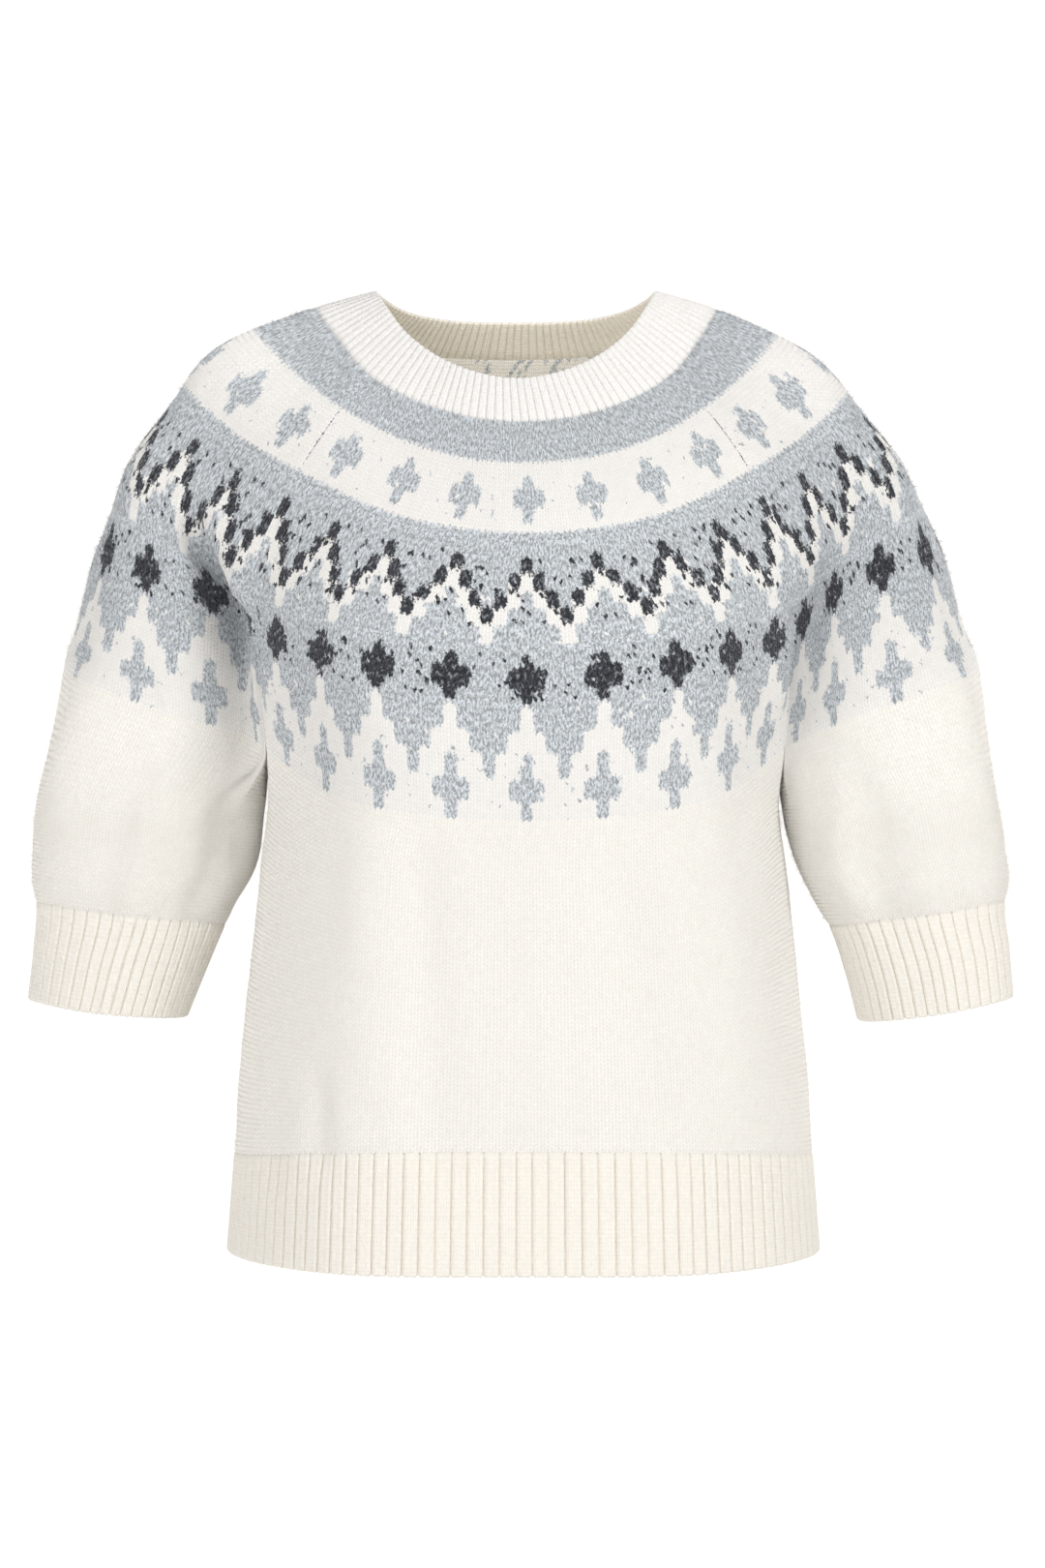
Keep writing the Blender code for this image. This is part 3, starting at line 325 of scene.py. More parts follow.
def fold_height(panel, side, cols, rows):
    """Height of the folds over a panel, [len(rows), len(cols)] in mm."""
    c, r = np.meshgrid(np.asarray(cols, float), np.asarray(rows, float))
    h = np.zeros_like(c)
    for f in FOLDS:
        if f["panel"] != panel or f["side"] not in (0, side):
            continue
        ax, ay = f["a"][0]*COLUMN_WIDTH, f["a"][1]
        bx, by = f["b"][0]*COLUMN_WIDTH, f["b"][1]
        px, py = c*COLUMN_WIDTH - ax, r - ay
        dx, dy = bx - ax, by - ay
        n = math.hypot(dx, dy)
        t = (px*dx + py*dy)/(n*n)
        off = (px*dy - py*dx)/n
        steep = f.get("steep", 1.0)
        wide = f["width"]*np.where(off*(1 if steep > 0 else -1) > 0, abs(steep), 1.0)
        end = np.clip(np.minimum(t + 0.12, 1.12 - t)/0.35, 0, 1)
        end = end*end*(3 - 2*end)
        h += f["high"]*end*np.exp(-(off/wide)**2)
    lo, hi = NODES[panel][0][0], NODES[panel][0][-1]
    edge = np.clip(np.minimum(c - lo, hi - c)*COLUMN_WIDTH/FOLD_CLEAR, 0, 1)
    up = np.where(r <= UNDERARM_V + 25, edge, 1)
    mix = np.clip((r - UNDERARM_V - 5)/40, 0, 1)
    edge = edge*(1 - mix) + mix
    # and dies out through the ribs below
    last = 436 if panel == "sleeve" else 542
    edge = edge*np.clip((last - r)/58, 0, 1)*np.clip((r - 40)/20, 0, 1)
    return h*edge


def outward(panel, side, cols, rows):
    """Outward unit normals, with the slopes along the columns and down the rows."""
    cols, rows = np.asarray(cols, float), np.asarray(rows, float)
    ec, er = 0.4, 1.0
    out = NODES[panel][1]
    top, foot = YOKE[0]["v"], (SLEEVE if panel == "sleeve" else BODY)[-1]["v"]
    c0, c1 = np.clip(cols - ec, out[0], out[-1]), np.clip(cols + ec, out[0], out[-1])
    lo, hi = NODES[panel][0][0], NODES[panel][0][-1]
    c0, c1 = np.where(np.abs(cols - lo) < 1e-6, cols, c0), np.where(np.abs(cols - hi) < 1e-6, cols, c1)
    r0, r1 = np.clip(rows - er, top, foot), np.clip(rows + er, top, foot)
    below = np.abs(rows - UNDERARM_V) < 1e-6
    r0 = np.where(below, rows, r0)
    du = (surface(panel, side, c1, rows) - surface(panel, side, c0, rows))/(c1 - c0)[None, :, None]
    dv = (surface(panel, side, cols, r1) - surface(panel, side, cols, r0))/(r1 - r0)[:, None, None]
    n = np.cross(dv, du)*(-1 if panel == "sleeve" and side < 0 else 1)
    n /= np.maximum(np.linalg.norm(n, axis=-1, keepdims=True), 1e-9)
    return n, du, dv


# ----------------------------------------------------------------------------
# Yarns
# ----------------------------------------------------------------------------
def linear(r, g, b):
    return np.array([(c/255/12.92) if c < 11 else ((c/255 + 0.055)/1.055)**2.4 for c in (r, g, b)])


YARN = dict(
    c=linear(239.5, 237.5, 232.5),       # cream of the body and ribs
    w=linear(236, 235, 233),       # white of the pattern
    g=linear(189, 195, 201),       # grey marl
    d=linear(51, 54, 62),          # charcoal
)

# The yoke chart, from the neckband down.  to = fabric length down the centre front at the
# foot of the row band, round = stitches in the round, blocks = the colours of blocks of two
# stitches from the middle of a motif to halfway to the next (six blocks a repeat).
CHART = [
    dict(to=59.5,  round=288, blocks="gggg"),
    dict(to=66.3,  round=288, blocks="wwww"),
    dict(to=75.4,  round=288, blocks="gwww"),
    dict(to=88.1,  round=288, blocks="ggww"),
    dict(to=98.0,  round=288, blocks="gwww"),
    dict(to=103.0, round=288, blocks="wwww"),
    dict(to=118.3, round=336, blocks="gggg"),
    dict(to=127.7, round=336, blocks="dggg"),
    dict(to=139.6, round=336, blocks="wdgg"),
    dict(to=149.7, round=336, blocks="gwdg"),
    dict(to=160.3, round=336, blocks="ggwd"),
    dict(to=173.7, round=336, blocks="gggw"),
    dict(to=177.2, round=384, blocks="gggg"),
    dict(to=184.8, round=384, blocks="dggg"),
    dict(to=199.6, round=384, blocks="ddgg"),
    dict(to=206.2, round=384, blocks="dggg"),
    dict(to=211.0, round=384, blocks="gggg"),
    dict(to=225.4, round=384, blocks="wggg"),
    dict(to=238.6, round=384, blocks="wwgg"),
    dict(to=254.2, round=384, blocks="gwwg"),
    dict(to=268.7, round=384, blocks="ggww"),
    dict(to=281.0, round=384, blocks="gwww"),
    dict(to=9999., round=384, blocks="cccc"),
]
# Strips of knitting: the stitches change at plain rows.
STRIPS = [
    dict(top=34.0,  foot=110.0, share=0.75,  rows=30),
    dict(top=110.0, foot=175.5, share=0.875, rows=25),
    dict(top=175.5, foot=281.0, share=1.0,   rows=40),
]
LOWER = dict(front=(281.0, 484.0, 80), back=(281.0, 484.0, 80), sleeve=(281.0, 392.0, 48))
WALL, RIB_WALL = 2.4, 3.2
TUCK = 1.2                 # how far a panel's ends run on under the next piece, mm

# Across one stitch: the two legs of the V stand up, its middle and the gap to the next lie lower.
LEGS = dict(drop=(0.0, 0.36, 0.72, 0.36), high=(-0.26, 0.20, -0.10, 0.20))
CODES = "cwgd"
# what a vertex carries for each code: how much charcoal, grey and white there is; the rest is cream
WEIGHT = np.array([(0, 0, 0), (0, 0, 1), (0, 1, 0), (1, 0, 0)], float)


def soft_noise(a, b, seed, size_a, size_b):
    """Smooth noise about -1..1 over the plane (a, b)."""
    rng = np.random.default_rng(seed)
    table = rng.normal(0, 0.5, (64, 64))
    x, y = np.asarray(a)/size_a + 17.3, np.asarray(b)/size_b + 5.1
    i, j = np.floor(x).astype(int), np.floor(y).astype(int)
    u, w = x - i, y - j
    u, w = u*u*(3 - 2*u), w*w*(3 - 2*w)
    t = lambda p, q: table[p % 64, q % 64]
    return (t(i, j)*(1-u)*(1-w) + t(i+1, j)*u*(1-w) + t(i, j+1)*(1-u)*w + t(i+1, j+1)*u*w)*1.6


def code_at(v, s, share):
    """Yarn code (index in CODES) of the stitch s of the round at the fabric length v."""
    ends = np.array([r["to"] for r in CHART])
    row = CHART[min(int(np.searchsorted(ends, v, side="right")), len(CHART) - 1)]
    b = np.floor_divide(np.asarray(s) + 1, 2) % 6
    b = np.minimum(b, 6 - b)
    blocks = np.array([CODES.index(k) for k in row["blocks"]])
    return blocks[b], sorted(set(blocks))


# ----------------------------------------------------------------------------
# Extra soft folds of the cloth, finer than those of the solids: the table is empty, so none are added
# ----------------------------------------------------------------------------
CREASES = [
]


def crease_height(panel, side, cols, rows):
    c, r = np.meshgrid(np.asarray(cols, float), np.asarray(rows, float))
    h = np.zeros_like(c)
    for f in CREASES:
        if f["panel"] != panel or f["side"] not in (0, side):
            continue
        ax, ay = f["a"][0]*COLUMN_WIDTH, f["a"][1]
        bx, by = f["b"][0]*COLUMN_WIDTH, f["b"][1]
        px, py = c*COLUMN_WIDTH - ax, r - ay
        dx, dy = bx - ax, by - ay
        n = math.hypot(dx, dy)
        t = (px*dx + py*dy)/(n*n)
        bow = f.get("bow", 0.0)*4*np.clip(t, 0, 1)*(1 - np.clip(t, 0, 1))
        off = np.abs((px*dy - py*dx)/n - bow)
        end = np.clip(np.minimum(t, 1 - t)/0.3, 0, 1)
        end = end*end*(3 - 2*end)
        h += f["high"]*end*np.exp(-(off/f["width"])**2)
    lo, hi = NODES[panel][0][0], NODES[panel][0][-1]
    edge = np.clip(np.minimum(c - lo, hi - c)*COLUMN_WIDTH/8, 0, 1)
    mix = np.clip((r - UNDERARM_V)/25, 0, 1)
    edge = edge*(1 - mix) + mix
    last = 420 if panel == "sleeve" else 520
    return h*edge*np.clip((last - r)/36, 0, 1)*np.clip((r - 38)/14, 0, 1)


def cloth(panel, side, cols, rows, lift):
    """Points of the cloth, lifted by `lift` mm from the solid's outer face, in metres."""
    cols, rows = np.asarray(cols, float), np.asarray(rows, float)
    p = surface(panel, side, cols, rows)
    n, _, _ = outward(panel, side, cols, rows)
    h = fold_height(panel, side, cols, rows) + crease_height(panel, side, cols, rows)
    k = PANEL_SEED[panel] + (side > 0)
    C, R = np.meshgrid(cols, rows)
    lo, hi = NODES[panel][0][0], NODES[panel][0][-1]
    side_gap = np.where(R < UNDERARM_V + 1e-6, np.minimum(C - lo, hi - C), np.minimum(C - lo, hi - C) + GUSSET)
    end = LOWER[panel][1]
    calm = np.clip(side_gap*3.6/9, 0, 1)*np.clip((R - 34)/8, 0, 1)*np.clip((end - R)/8, 0, 1)
    calm = np.where(C < lo, np.minimum(calm, np.clip((R - UNDERARM_V)/9, 0, 1)), calm)
    calm = np.where(C > hi, np.minimum(calm, np.clip((R - UNDERARM_V)/9, 0, 1)), calm)
    h = h + calm*(0.35*soft_noise(C*3.6, R, 11 + k, 26, 30) + 0.16*soft_noise(C*3.6, R, 31 + k, 9, 11))
    return (p + n*(h + lift)[..., None])*0.001


PANEL_SEED = dict(front=0, back=3, sleeve=6)


# ----------------------------------------------------------------------------
# Mesh building
# ----------------------------------------------------------------------------
class Mesh:
    def __init__(self):
        self.points, self.weights, self.outside, self.count = [], [], [], 0
        self.quads, self.tris = [], []            # (faces, uv, flat)

    def add(self, p, weight=(0, 0, 0), outside=1.0):
        p = np.asarray(p, float).reshape(-1, 3)
        self.points.append(p)
        self.outside.append(np.full((len(p), 1), float(outside)))
        self.weights.append(np.broadcast_to(np.asarray(weight, float).reshape(-1, 3), (len(p), 3)))
        i = np.arange(self.count, self.count + len(p))
        self.count += len(p)
        return i

    def faces(self, f, uv, flat=False):
        f = np.asarray(f, int)
        if len(f) == 0:
            return
        uv = np.broadcast_to(np.asarray(uv, float), (len(f), f.shape[1], 2))
        (self.quads if f.shape[1] == 4 else self.tris).append((f, uv, flat))

    def zip(self, a, ta, b, tb, ua=None, ub=None, va=0.5, vb=0.5, flat=False, flip=False):
        """Triangles between two runs of points with rising parameters ta, tb."""
        i = j = 0
        out, uv = [], []
        ua = np.full(len(a), 0.25) if ua is None else ua
        ub = np.full(len(b), 0.25) if ub is None else ub
        while i < len(a) - 1 or j < len(b) - 1:
            go_a = j == len(b) - 1 or (i < len(a) - 1 and ta[i+1] <= tb[j+1])
            if go_a:
                out.append((a[i], a[i+1], b[j]))
                uv.append(((ua[i], va), (ua[i+1], va), (ub[j], vb)))
                i += 1
            else:
                out.append((a[i], b[j+1], b[j]))
                uv.append(((ua[i], va), (ub[j+1], vb), (ub[j], vb)))
                j += 1
        out, uv = np.array(out), np.array(uv, float)
        whole = (out[:, 0] != out[:, 1]) & (out[:, 1] != out[:, 2]) & (out[:, 0] != out[:, 2])
        out, uv = out[whole], uv[whole]
        if flip:
            out, uv = out[:, ::-1], uv[:, ::-1]
        self.faces(out, uv, flat)

    def hairs(self, base, normal, weight, uv, rng):
        """Fine wool hairs, each a thin closed spike that stands up or leans over at its base."""
        n = len(base)
        lean = rng.normal(size=(n, 3))
        lean -= (lean*normal).sum(1, keepdims=True)*normal
        lean /= np.linalg.norm(lean, axis=1, keepdims=True)
        up = rng.uniform(HAIR["up"][0], HAIR["up"][1], (n, 1))
        along = normal*up + lean*np.sqrt(1 - up*up)
        long_ = HAIR["long"][0]*(HAIR["long"][1]/HAIR["long"][0])**rng.random((n, 1))
        across = np.cross(along, normal)
        across /= np.linalg.norm(across, axis=1, keepdims=True)
        third = np.cross(along, across)
        foot = base - normal*0.0003
        ring = [foot + (across*math.cos(a) + third*math.sin(a))*HAIR["thick"]/2000 for a in (0, 2.0944, 4.1888)]
        p = np.stack(ring + [foot + along*(long_*0.001 + 0.0003)], 1)
        ids = self.add(p, np.repeat(weight, 4, axis=0)).reshape(n, 4)
        f = np.concatenate([ids[:, k] for k in ((0, 2, 1), (0, 1, 3), (1, 2, 3), (2, 0, 3))])
        t = np.tile(uv[:, None], (4, 3, 1))
        self.faces(f, t, True)

    def build(self, name, material):
        me = bpy.data.meshes.new(name)
        co = np.concatenate(self.points).astype(np.float32)
        q, t = self.quads, self.tris
        nq, nt = sum(len(x[0]) for x in q), sum(len(x[0]) for x in t)
        loops = np.concatenate([x[0].ravel() for x in q] + [x[0].ravel() for x in t])
        starts = np.concatenate([np.arange(nq)*4, nq*4 + np.arange(nt)*3])
        me.vertices.add(len(co))
        me.vertices.foreach_set("co", co.ravel())
        me.loops.add(len(loops))
        me.loops.foreach_set("vertex_index", loops.astype(np.int32))
        me.polygons.add(nq + nt)
        me.polygons.foreach_set("loop_start", starts.astype(np.int32))
        flat = np.concatenate([np.full(len(x[0]), x[2]) for x in q + t])
        me.polygons.foreach_set("use_smooth", ~flat)
        me.update(calc_edges=True)
        uv = me.uv_layers.new(name="knit")
        uv.data.foreach_set("uv", np.concatenate([x[1].reshape(-1) for x in q + t]).astype(np.float32))
        w = np.concatenate(self.weights)
        w = np.concatenate([w, np.concatenate(self.outside)], 1)
        yarn = me.color_attributes.new("yarn", "FLOAT_COLOR", "POINT")
        yarn.data.foreach_set("color", w.ravel().astype(np.float32))
        me.materials.append(material)
        if me.validate(verbose=False):
            print("repaired", name)
        o = bpy.data.objects.new(name, me)
        bpy.context.scene.collection.objects.link(o)
        return o


def vertex_weights(rows, rng):
    """Weights of the vertices of a strip, four a stitch, from the yarn codes of the stitches of each row.
    rows is a list of (codes, codes in the row).  Specks of the floats show through."""
    st = len(rows[0][0])
    faces = np.stack([np.repeat(WEIGHT[c], 4, axis=0) for c, _ in rows])      # rows x 4 st x 3
    f = np.concatenate([faces[:1], faces, faces[-1:]])
    f = np.concatenate([f[:, :1], f, f[:, -1:]], 1)
    w = (f[:-1, :-1] + f[1:, :-1] + f[:-1, 1:] + f[1:, 1:])/4
    pad = np.concatenate([w[:, :1], w, w[:, -1:]], 1)
    w = (pad[:, :-2] + 2*pad[:, 1:-1] + pad[:, 2:])/4
    pad = np.concatenate([w[:, :1]]*2 + [w] + [w[:, -1:]]*2, 1)      # and the blocks are round
    w = (pad[:, :-4] + 2*pad[:, 1:-3] + 3*pad[:, 2:-2] + 2*pad[:, 3:-1] + pad[:, 4:])/9
    pad = np.concatenate([w[:1], w, w[-1:]])
    w = (pad[:-2] + 3*pad[1:-1] + pad[2:])/5
    for j, (code, row_codes) in enumerate(rows):
        if len(row_codes) < 2:
            continue
        for c in row_codes:
            chance = SPECK[CODES[c]]
            for i in np.where((rng.random(st) < chance) & (code != c))[0]:
                k = 4*i + rng.integers(0, 3)
                jj = j + rng.integers(0, 2)
                full = WEIGHT[c]*rng.uniform(*SPECK_SIZE[CODES[c]])
                rest = 1 - full.sum()
                w[jj, k:k + 2] = full + rest*w[jj, k:k + 2]
                w[jj, max(k-1, 0):k] = 0.45*full + (1 - 0.45*full.sum())*w[jj, max(k-1, 0):k]
                w[jj, k + 2:k + 3] = 0.45*full + (1 - 0.45*full.sum())*w[jj, k + 2:k + 3]
    return w


# hairs a stitch on the panels, their lengths in mm, the sines of their lean, and their thickness in mm
HAIR = dict(share=dict(front=0.27, back=0.27, sleeve=1.30), long=(1.8, 6.5), up=(0.35, 0.95), thick=0.22)
SPECK = dict(d=0.11, g=0.05, w=0.035, c=0.0)           # share of the stitches of a row that show a float
SPECK_SIZE = dict(d=(0.80, 1.0), g=(0.55, 0.75), w=(0.6, 0.8), c=(0, 0))


def knit_panel(name, panel, side, material, seed):
    """One knitted panel: V stitches outside, the float side inside, closed along its edges."""
    rng = np.random.default_rng(seed)
    m = Mesh()
    lo, hi = NODES[panel][0][0], NODES[panel][0][-1]
    flip = panel == "sleeve" and side < 0
    strips = [(s["top"], s["foot"], s["share"], s["rows"], lo, hi) for s in STRIPS]
    top, foot, n_low = LOWER[panel]
    strips.append((top, foot, 1.0, n_low, lo - GUSSET, hi + GUSSET))

    # ---- outer face
    grids = []
    for k, (v0, v1, share, n, c0, c1) in enumerate(strips):
        first, last = k == 0, k == len(strips) - 1
        st = int(round((c1 - c0)*share))
        cols = np.linspace(c0, c1, 4*st + 1)
        vs = np.linspace(v0, v1, n + 1)
        step = (v1 - v0)/n
        lay = vs.copy()                               # where the rows lie
        sink = np.zeros(n + 1)
        if first:
            lay[0], sink[0] = v0 - TUCK, -0.55
        if last:
            lay[-1], sink[-1] = v1 + TUCK, -0.55
        P = np.empty((n + 1, len(cols), 3))
        phase = np.arange(len(cols)) % 4
        fade = np.ones(n + 1)
        if first:
            fade[0] = 0
        if last:
            fade[-1] = 0
        rise = np.ones(n + 1)
        if 0 < k < len(strips) - 1:                   # the row where the stitches change lies flat
            fade[0] = rise[0] = 0
        if k < len(strips) - 2:
            fade[n-1] = rise[n-1] = 0
        for ph, drop, high in zip(range(4), LEGS["drop"], LEGS["high"]):
            sel = np.where(phase == ph)[0]
            P[:, sel] = cloth(panel, side, cols[sel], lay + drop*step*fade, (high*rise + sink)[:, None])
        band = np.clip(1 - np.abs(vs - 81)/26, 0, 1)**0.5     # the raglan seams show in the white band
        dip = -0.42 - 0.75*band
        reach = 0.75 - 0.55*band
        if last:                                      # the edges of the underarm seam
            near = np.abs(np.clip(cols, lo, hi) - cols) > 1e-9
            P[0, near] = cloth(panel, side, cols[near], vs[:1], -0.5)[0]
        for e in (0, -1):
            q = cloth(panel, side, cols[[e]], lay, 0.0)[:, 0]
            nn, du, _ = (x[:, 0] for x in outward(panel, side, cols[[e]], lay))
            du = du/np.linalg.norm(du, axis=-1, keepdims=True)*(1 if e else -1)
            P[:, e] = q + (nn*(dip + sink)[:, None] + du*reach[:, None])*0.001
        start = int(round(c0*share))
        codes = [code_at((vs[j] + vs[j+1])/2, start + np.arange(st), share) for j in range(n)]
        grids.append((P, cols, vs, st, n, start, codes, band))

    rows_ids, rows_cols, rows_v = [], [], []
    previous, row = None, 0
    for k, (P, cols, vs, st, n, start, codes, band) in enumerate(grids):
        last = k == len(grids) - 1
        keep = n + 1 if last else n                   # a strip's last row of points is the next strip's first
        W = vertex_weights(codes, rng)
        for j in np.where(band > 0.3)[0]:             # the seam's grey thread shows
            W[j, 0] = W[j, -1] = (0.62, 0.38, 0)
            W[j, 1] = W[j, -2] = (0.18, 0.30, 0.5)
        ids = m.add(P[:keep], W[:keep]).reshape(keep, -1)
        u = start + np.arange(4*st + 1)/4.0
        if previous is not None:
            p_ids, p_cols, p_u = previous
            p_share = (p_u[-1] - p_u[0])/(p_cols[-1] - p_cols[0])
            if last:
                a = ids[0][(cols >= lo - 1e-9) & (cols <= hi + 1e-9)]
                quad_rows(m, p_ids, a, p_u, row - 1, flip)
            else:
                m.zip(p_ids, p_cols, ids[0], cols, p_u, cols*p_share, row - 1, row, flip=not flip)
        for j in range(keep - 1):
            quad_rows(m, ids[j], ids[j+1], u, row + j, flip)
        nn = outward(panel, side, cols[::4], vs)[0]
        hair = int(n*st*HAIR["share"][panel])
        aside = rng.uniform(-1, 1, hair)              # more of them near the sides, where they show
        aside = np.sign(aside)*np.abs(aside)**(1.0 if panel == "sleeve" else 0.5)
        hj, hs = rng.integers(1, n, hair), 1 + ((aside + 1)/2*(st - 2)).astype(int)
        hi_ = 4*hs + rng.integers(1, 4, hair)
        m.hairs(P[hj, hi_], nn[hj, hs], W[hj, hi_], np.stack([u[hi_], row + hj.astype(float)], 1), rng)
        rows_ids += [ids[j] for j in range(keep)]
        rows_cols += [cols]*keep
        rows_v += list(vs[:keep])
        previous = (ids[-1], cols, u)
        row += n

    # ---- inner face, coarser; the yoke shows its floats there
    in_ids, in_cols, in_v = [], [], []
    prev = None
    for k, (v0, v1, share, n, c0, c1) in enumerate(strips):
        last = k == len(strips) - 1
        if last:
            cols = np.concatenate([np.linspace(c0, lo, 5), np.linspace(lo, hi, int((hi - lo)/2) + 1)[1:-1],
                                   np.linspace(hi, c1, 5)])
        else:
            cols = np.linspace(c0, c1, int(round((c1 - c0)*share)) + 1)
        nr = n//2
        vs = np.linspace(v0, v1, nr + 1)
        keep = nr + 1 if last else nr
        W = np.zeros((keep, len(cols), 3))
        if not last:
            for j in range(keep):
                code, row_codes = code_at(vs[j] + 1, np.floor(cols*share).astype(int), share)
                # floats of the colours that aren't knitted there lie over the back of the stitches
                w = WEIGHT[code]*0.3
                w[:, 1] += np.where(rng.random(len(cols)) < 0.22, 0.6, 0.0)*(code != 0)
                w[:, 0] += np.where(rng.random(len(cols)) < 0.07, 0.7, 0.0)*(len(row_codes) > 1)
                w /= np.maximum(w.sum(1, keepdims=True), 1)
                w[:, 2] = 1 - w[:, 0] - w[:, 1]
                W[j] = w
        ids = m.add(cloth(panel, side, cols, vs[:keep], -WALL), W.reshape(-1, 3), 0.0).reshape(keep, -1)
        if prev is not None:
            a = (cols >= lo - 1e-9) & (cols <= hi + 1e-9) if last else slice(None)
            m.zip(prev[0], prev[1], ids[0][a], cols[a], flip=flip)
        for j in range(keep - 1):
            f = np.stack([ids[j][:-1], ids[j][1:], ids[j+1][1:], ids[j+1][:-1]], 1)
            ua, ub = cols[:-1]*share, cols[1:]*share
            ta, tb = np.full(len(ua), vs[j]/2.6), np.full(len(ua), vs[j+1]/2.6)
            t = np.stack([np.stack([ua, ta], 1), np.stack([ub, ta], 1), np.stack([ub, tb], 1), np.stack([ua, tb], 1)], 1)
            m.faces(f[:, ::-1] if flip else f, t[:, ::-1] if flip else t)
        in_ids += [ids[j] for j in range(keep)]
        in_cols += [cols]*keep
        in_v += list(vs[:keep])
        prev = (ids[-1], cols)

    # ---- edges: the outer and the inner face are joined all round
    def sections(ids, cols, v):
        v = np.array(v)
        up = [i for i in range(len(ids)) if v[i] < UNDERARM_V - 1e-6]
        down = [i for i in range(len(ids)) if v[i] >= UNDERARM_V - 1e-6]
        k = down[0]
        c = cols[k]
        inside = np.where((c >= lo - 1e-9) & (c <= hi + 1e-9))[0]
        l, r = inside[0], inside[-1]
        run = lambda e, kk: (np.array([ids[i][e] for i in up] + [ids[k][kk]]), np.array([v[i] for i in up] + [v[k]]))
        return dict(top=(ids[0], cols[0]), left=run(0, l), right=run(-1, r),
                    gusset_l=(ids[k][:l+1], c[:l+1]), gusset_r=(ids[k][r:], c[r:]),
                    low_l=(np.array([ids[i][0] for i in down]), v[down]),
                    low_r=(np.array([ids[i][-1] for i in down]), v[down]),
                    foot=(ids[-1], cols[-1]))
    a, b = sections(rows_ids, rows_cols, rows_v), sections(in_ids, in_cols, in_v)
    turned = ("left", "low_l", "foot")
    for s in a:
        m.zip(a[s][0], a[s][1], b[s][0], b[s][1], flat=True, flip=(s in turned) != flip)
    return m.build(name, material)


def quad_rows(m, a, b, u, row, flip):
    """Quads of one row of stitches between the runs a and b, four to a stitch."""
    f = np.stack([a[:-1], b[:-1], b[1:], a[1:]], 1)
    n = len(f)
    t, l = np.full(n, float(row)), np.full(n, row + 1.0)
    uv = np.stack([np.stack([u[:-1], t], 1), np.stack([u[:-1], l], 1), np.stack([u[1:], l], 1), np.stack([u[1:], t], 1)], 1)
    if flip:
        f, uv = f[:, ::-1], uv[:, ::-1]
    m.faces(f, uv)


# ----------------------------------------------------------------------------
# Ribs
# ----------------------------------------------------------------------------
def ring_cloth(ts, rows, lift):
    """Cloth all the way round: t counts the 384 columns from the centre front to the wearer's left."""
    ts, rows = np.asarray(ts, float), np.asarray(rows, float)
    P = np.empty((len(rows), len(ts), 3))
    t = np.mod(ts, ROUND)
    for panel, side, sel, col in (
            ("front", 1, t < 56, lambda x: x), ("sleeve", 1, (t >= 56) & (t < 136), lambda x: x),
            ("back", 1, (t >= 136) & (t < 248), lambda x: x), ("sleeve", -1, (t >= 248) & (t < 328), lambda x: ROUND - x),
            ("front", 1, t >= 328, lambda x: x - ROUND)):
        if not sel.any():
            continue
        c = col(t[sel])
        order = np.argsort(c)
        q = plain_cloth(panel, side, c[order], rows, 0.0)
        n, _, _ = outward(panel, side, c[order], rows)
        back = np.empty_like(q)
        back[:, order] = q
        nn = np.empty_like(n)
        nn[:, order] = n
        P[:, sel] = back + nn*np.asarray(lift)[None, sel][..., None]*0.001
    return P


def plain_cloth(panel, side, cols, rows, lift):
    p = surface(panel, side, cols, rows)
    n, _, _ = outward(panel, side, cols, rows)
    h = fold_height(panel, side, cols, rows) + crease_height(panel, side, cols, rows)
    return (p + n*(h + lift)[..., None])*0.001


# phase across one rib, height in mm, stitches counted across it
RIB_2X1 = [(0.00, -1.15, 0.0), (0.07, -0.55, 0.10), (0.14, 0.16, 0.30), (0.26, 0.42, 0.65), (0.40, 0.34, 1.1), (0.535, 0.12, 1.5),
           (0.67, 0.34, 1.9), (0.81, 0.42, 2.35), (0.93, 0.16, 2.70), (0.97, -0.40, 2.85)]
RIB_1X1 = [(0.00, -0.75, 0.17), (0.18, -0.10, 0.45), (0.36, 0.30, 0.80), (0.52, 0.22, 1.0), (0.68, 0.30, 1.25), (0.84, -0.10, 1.6)]


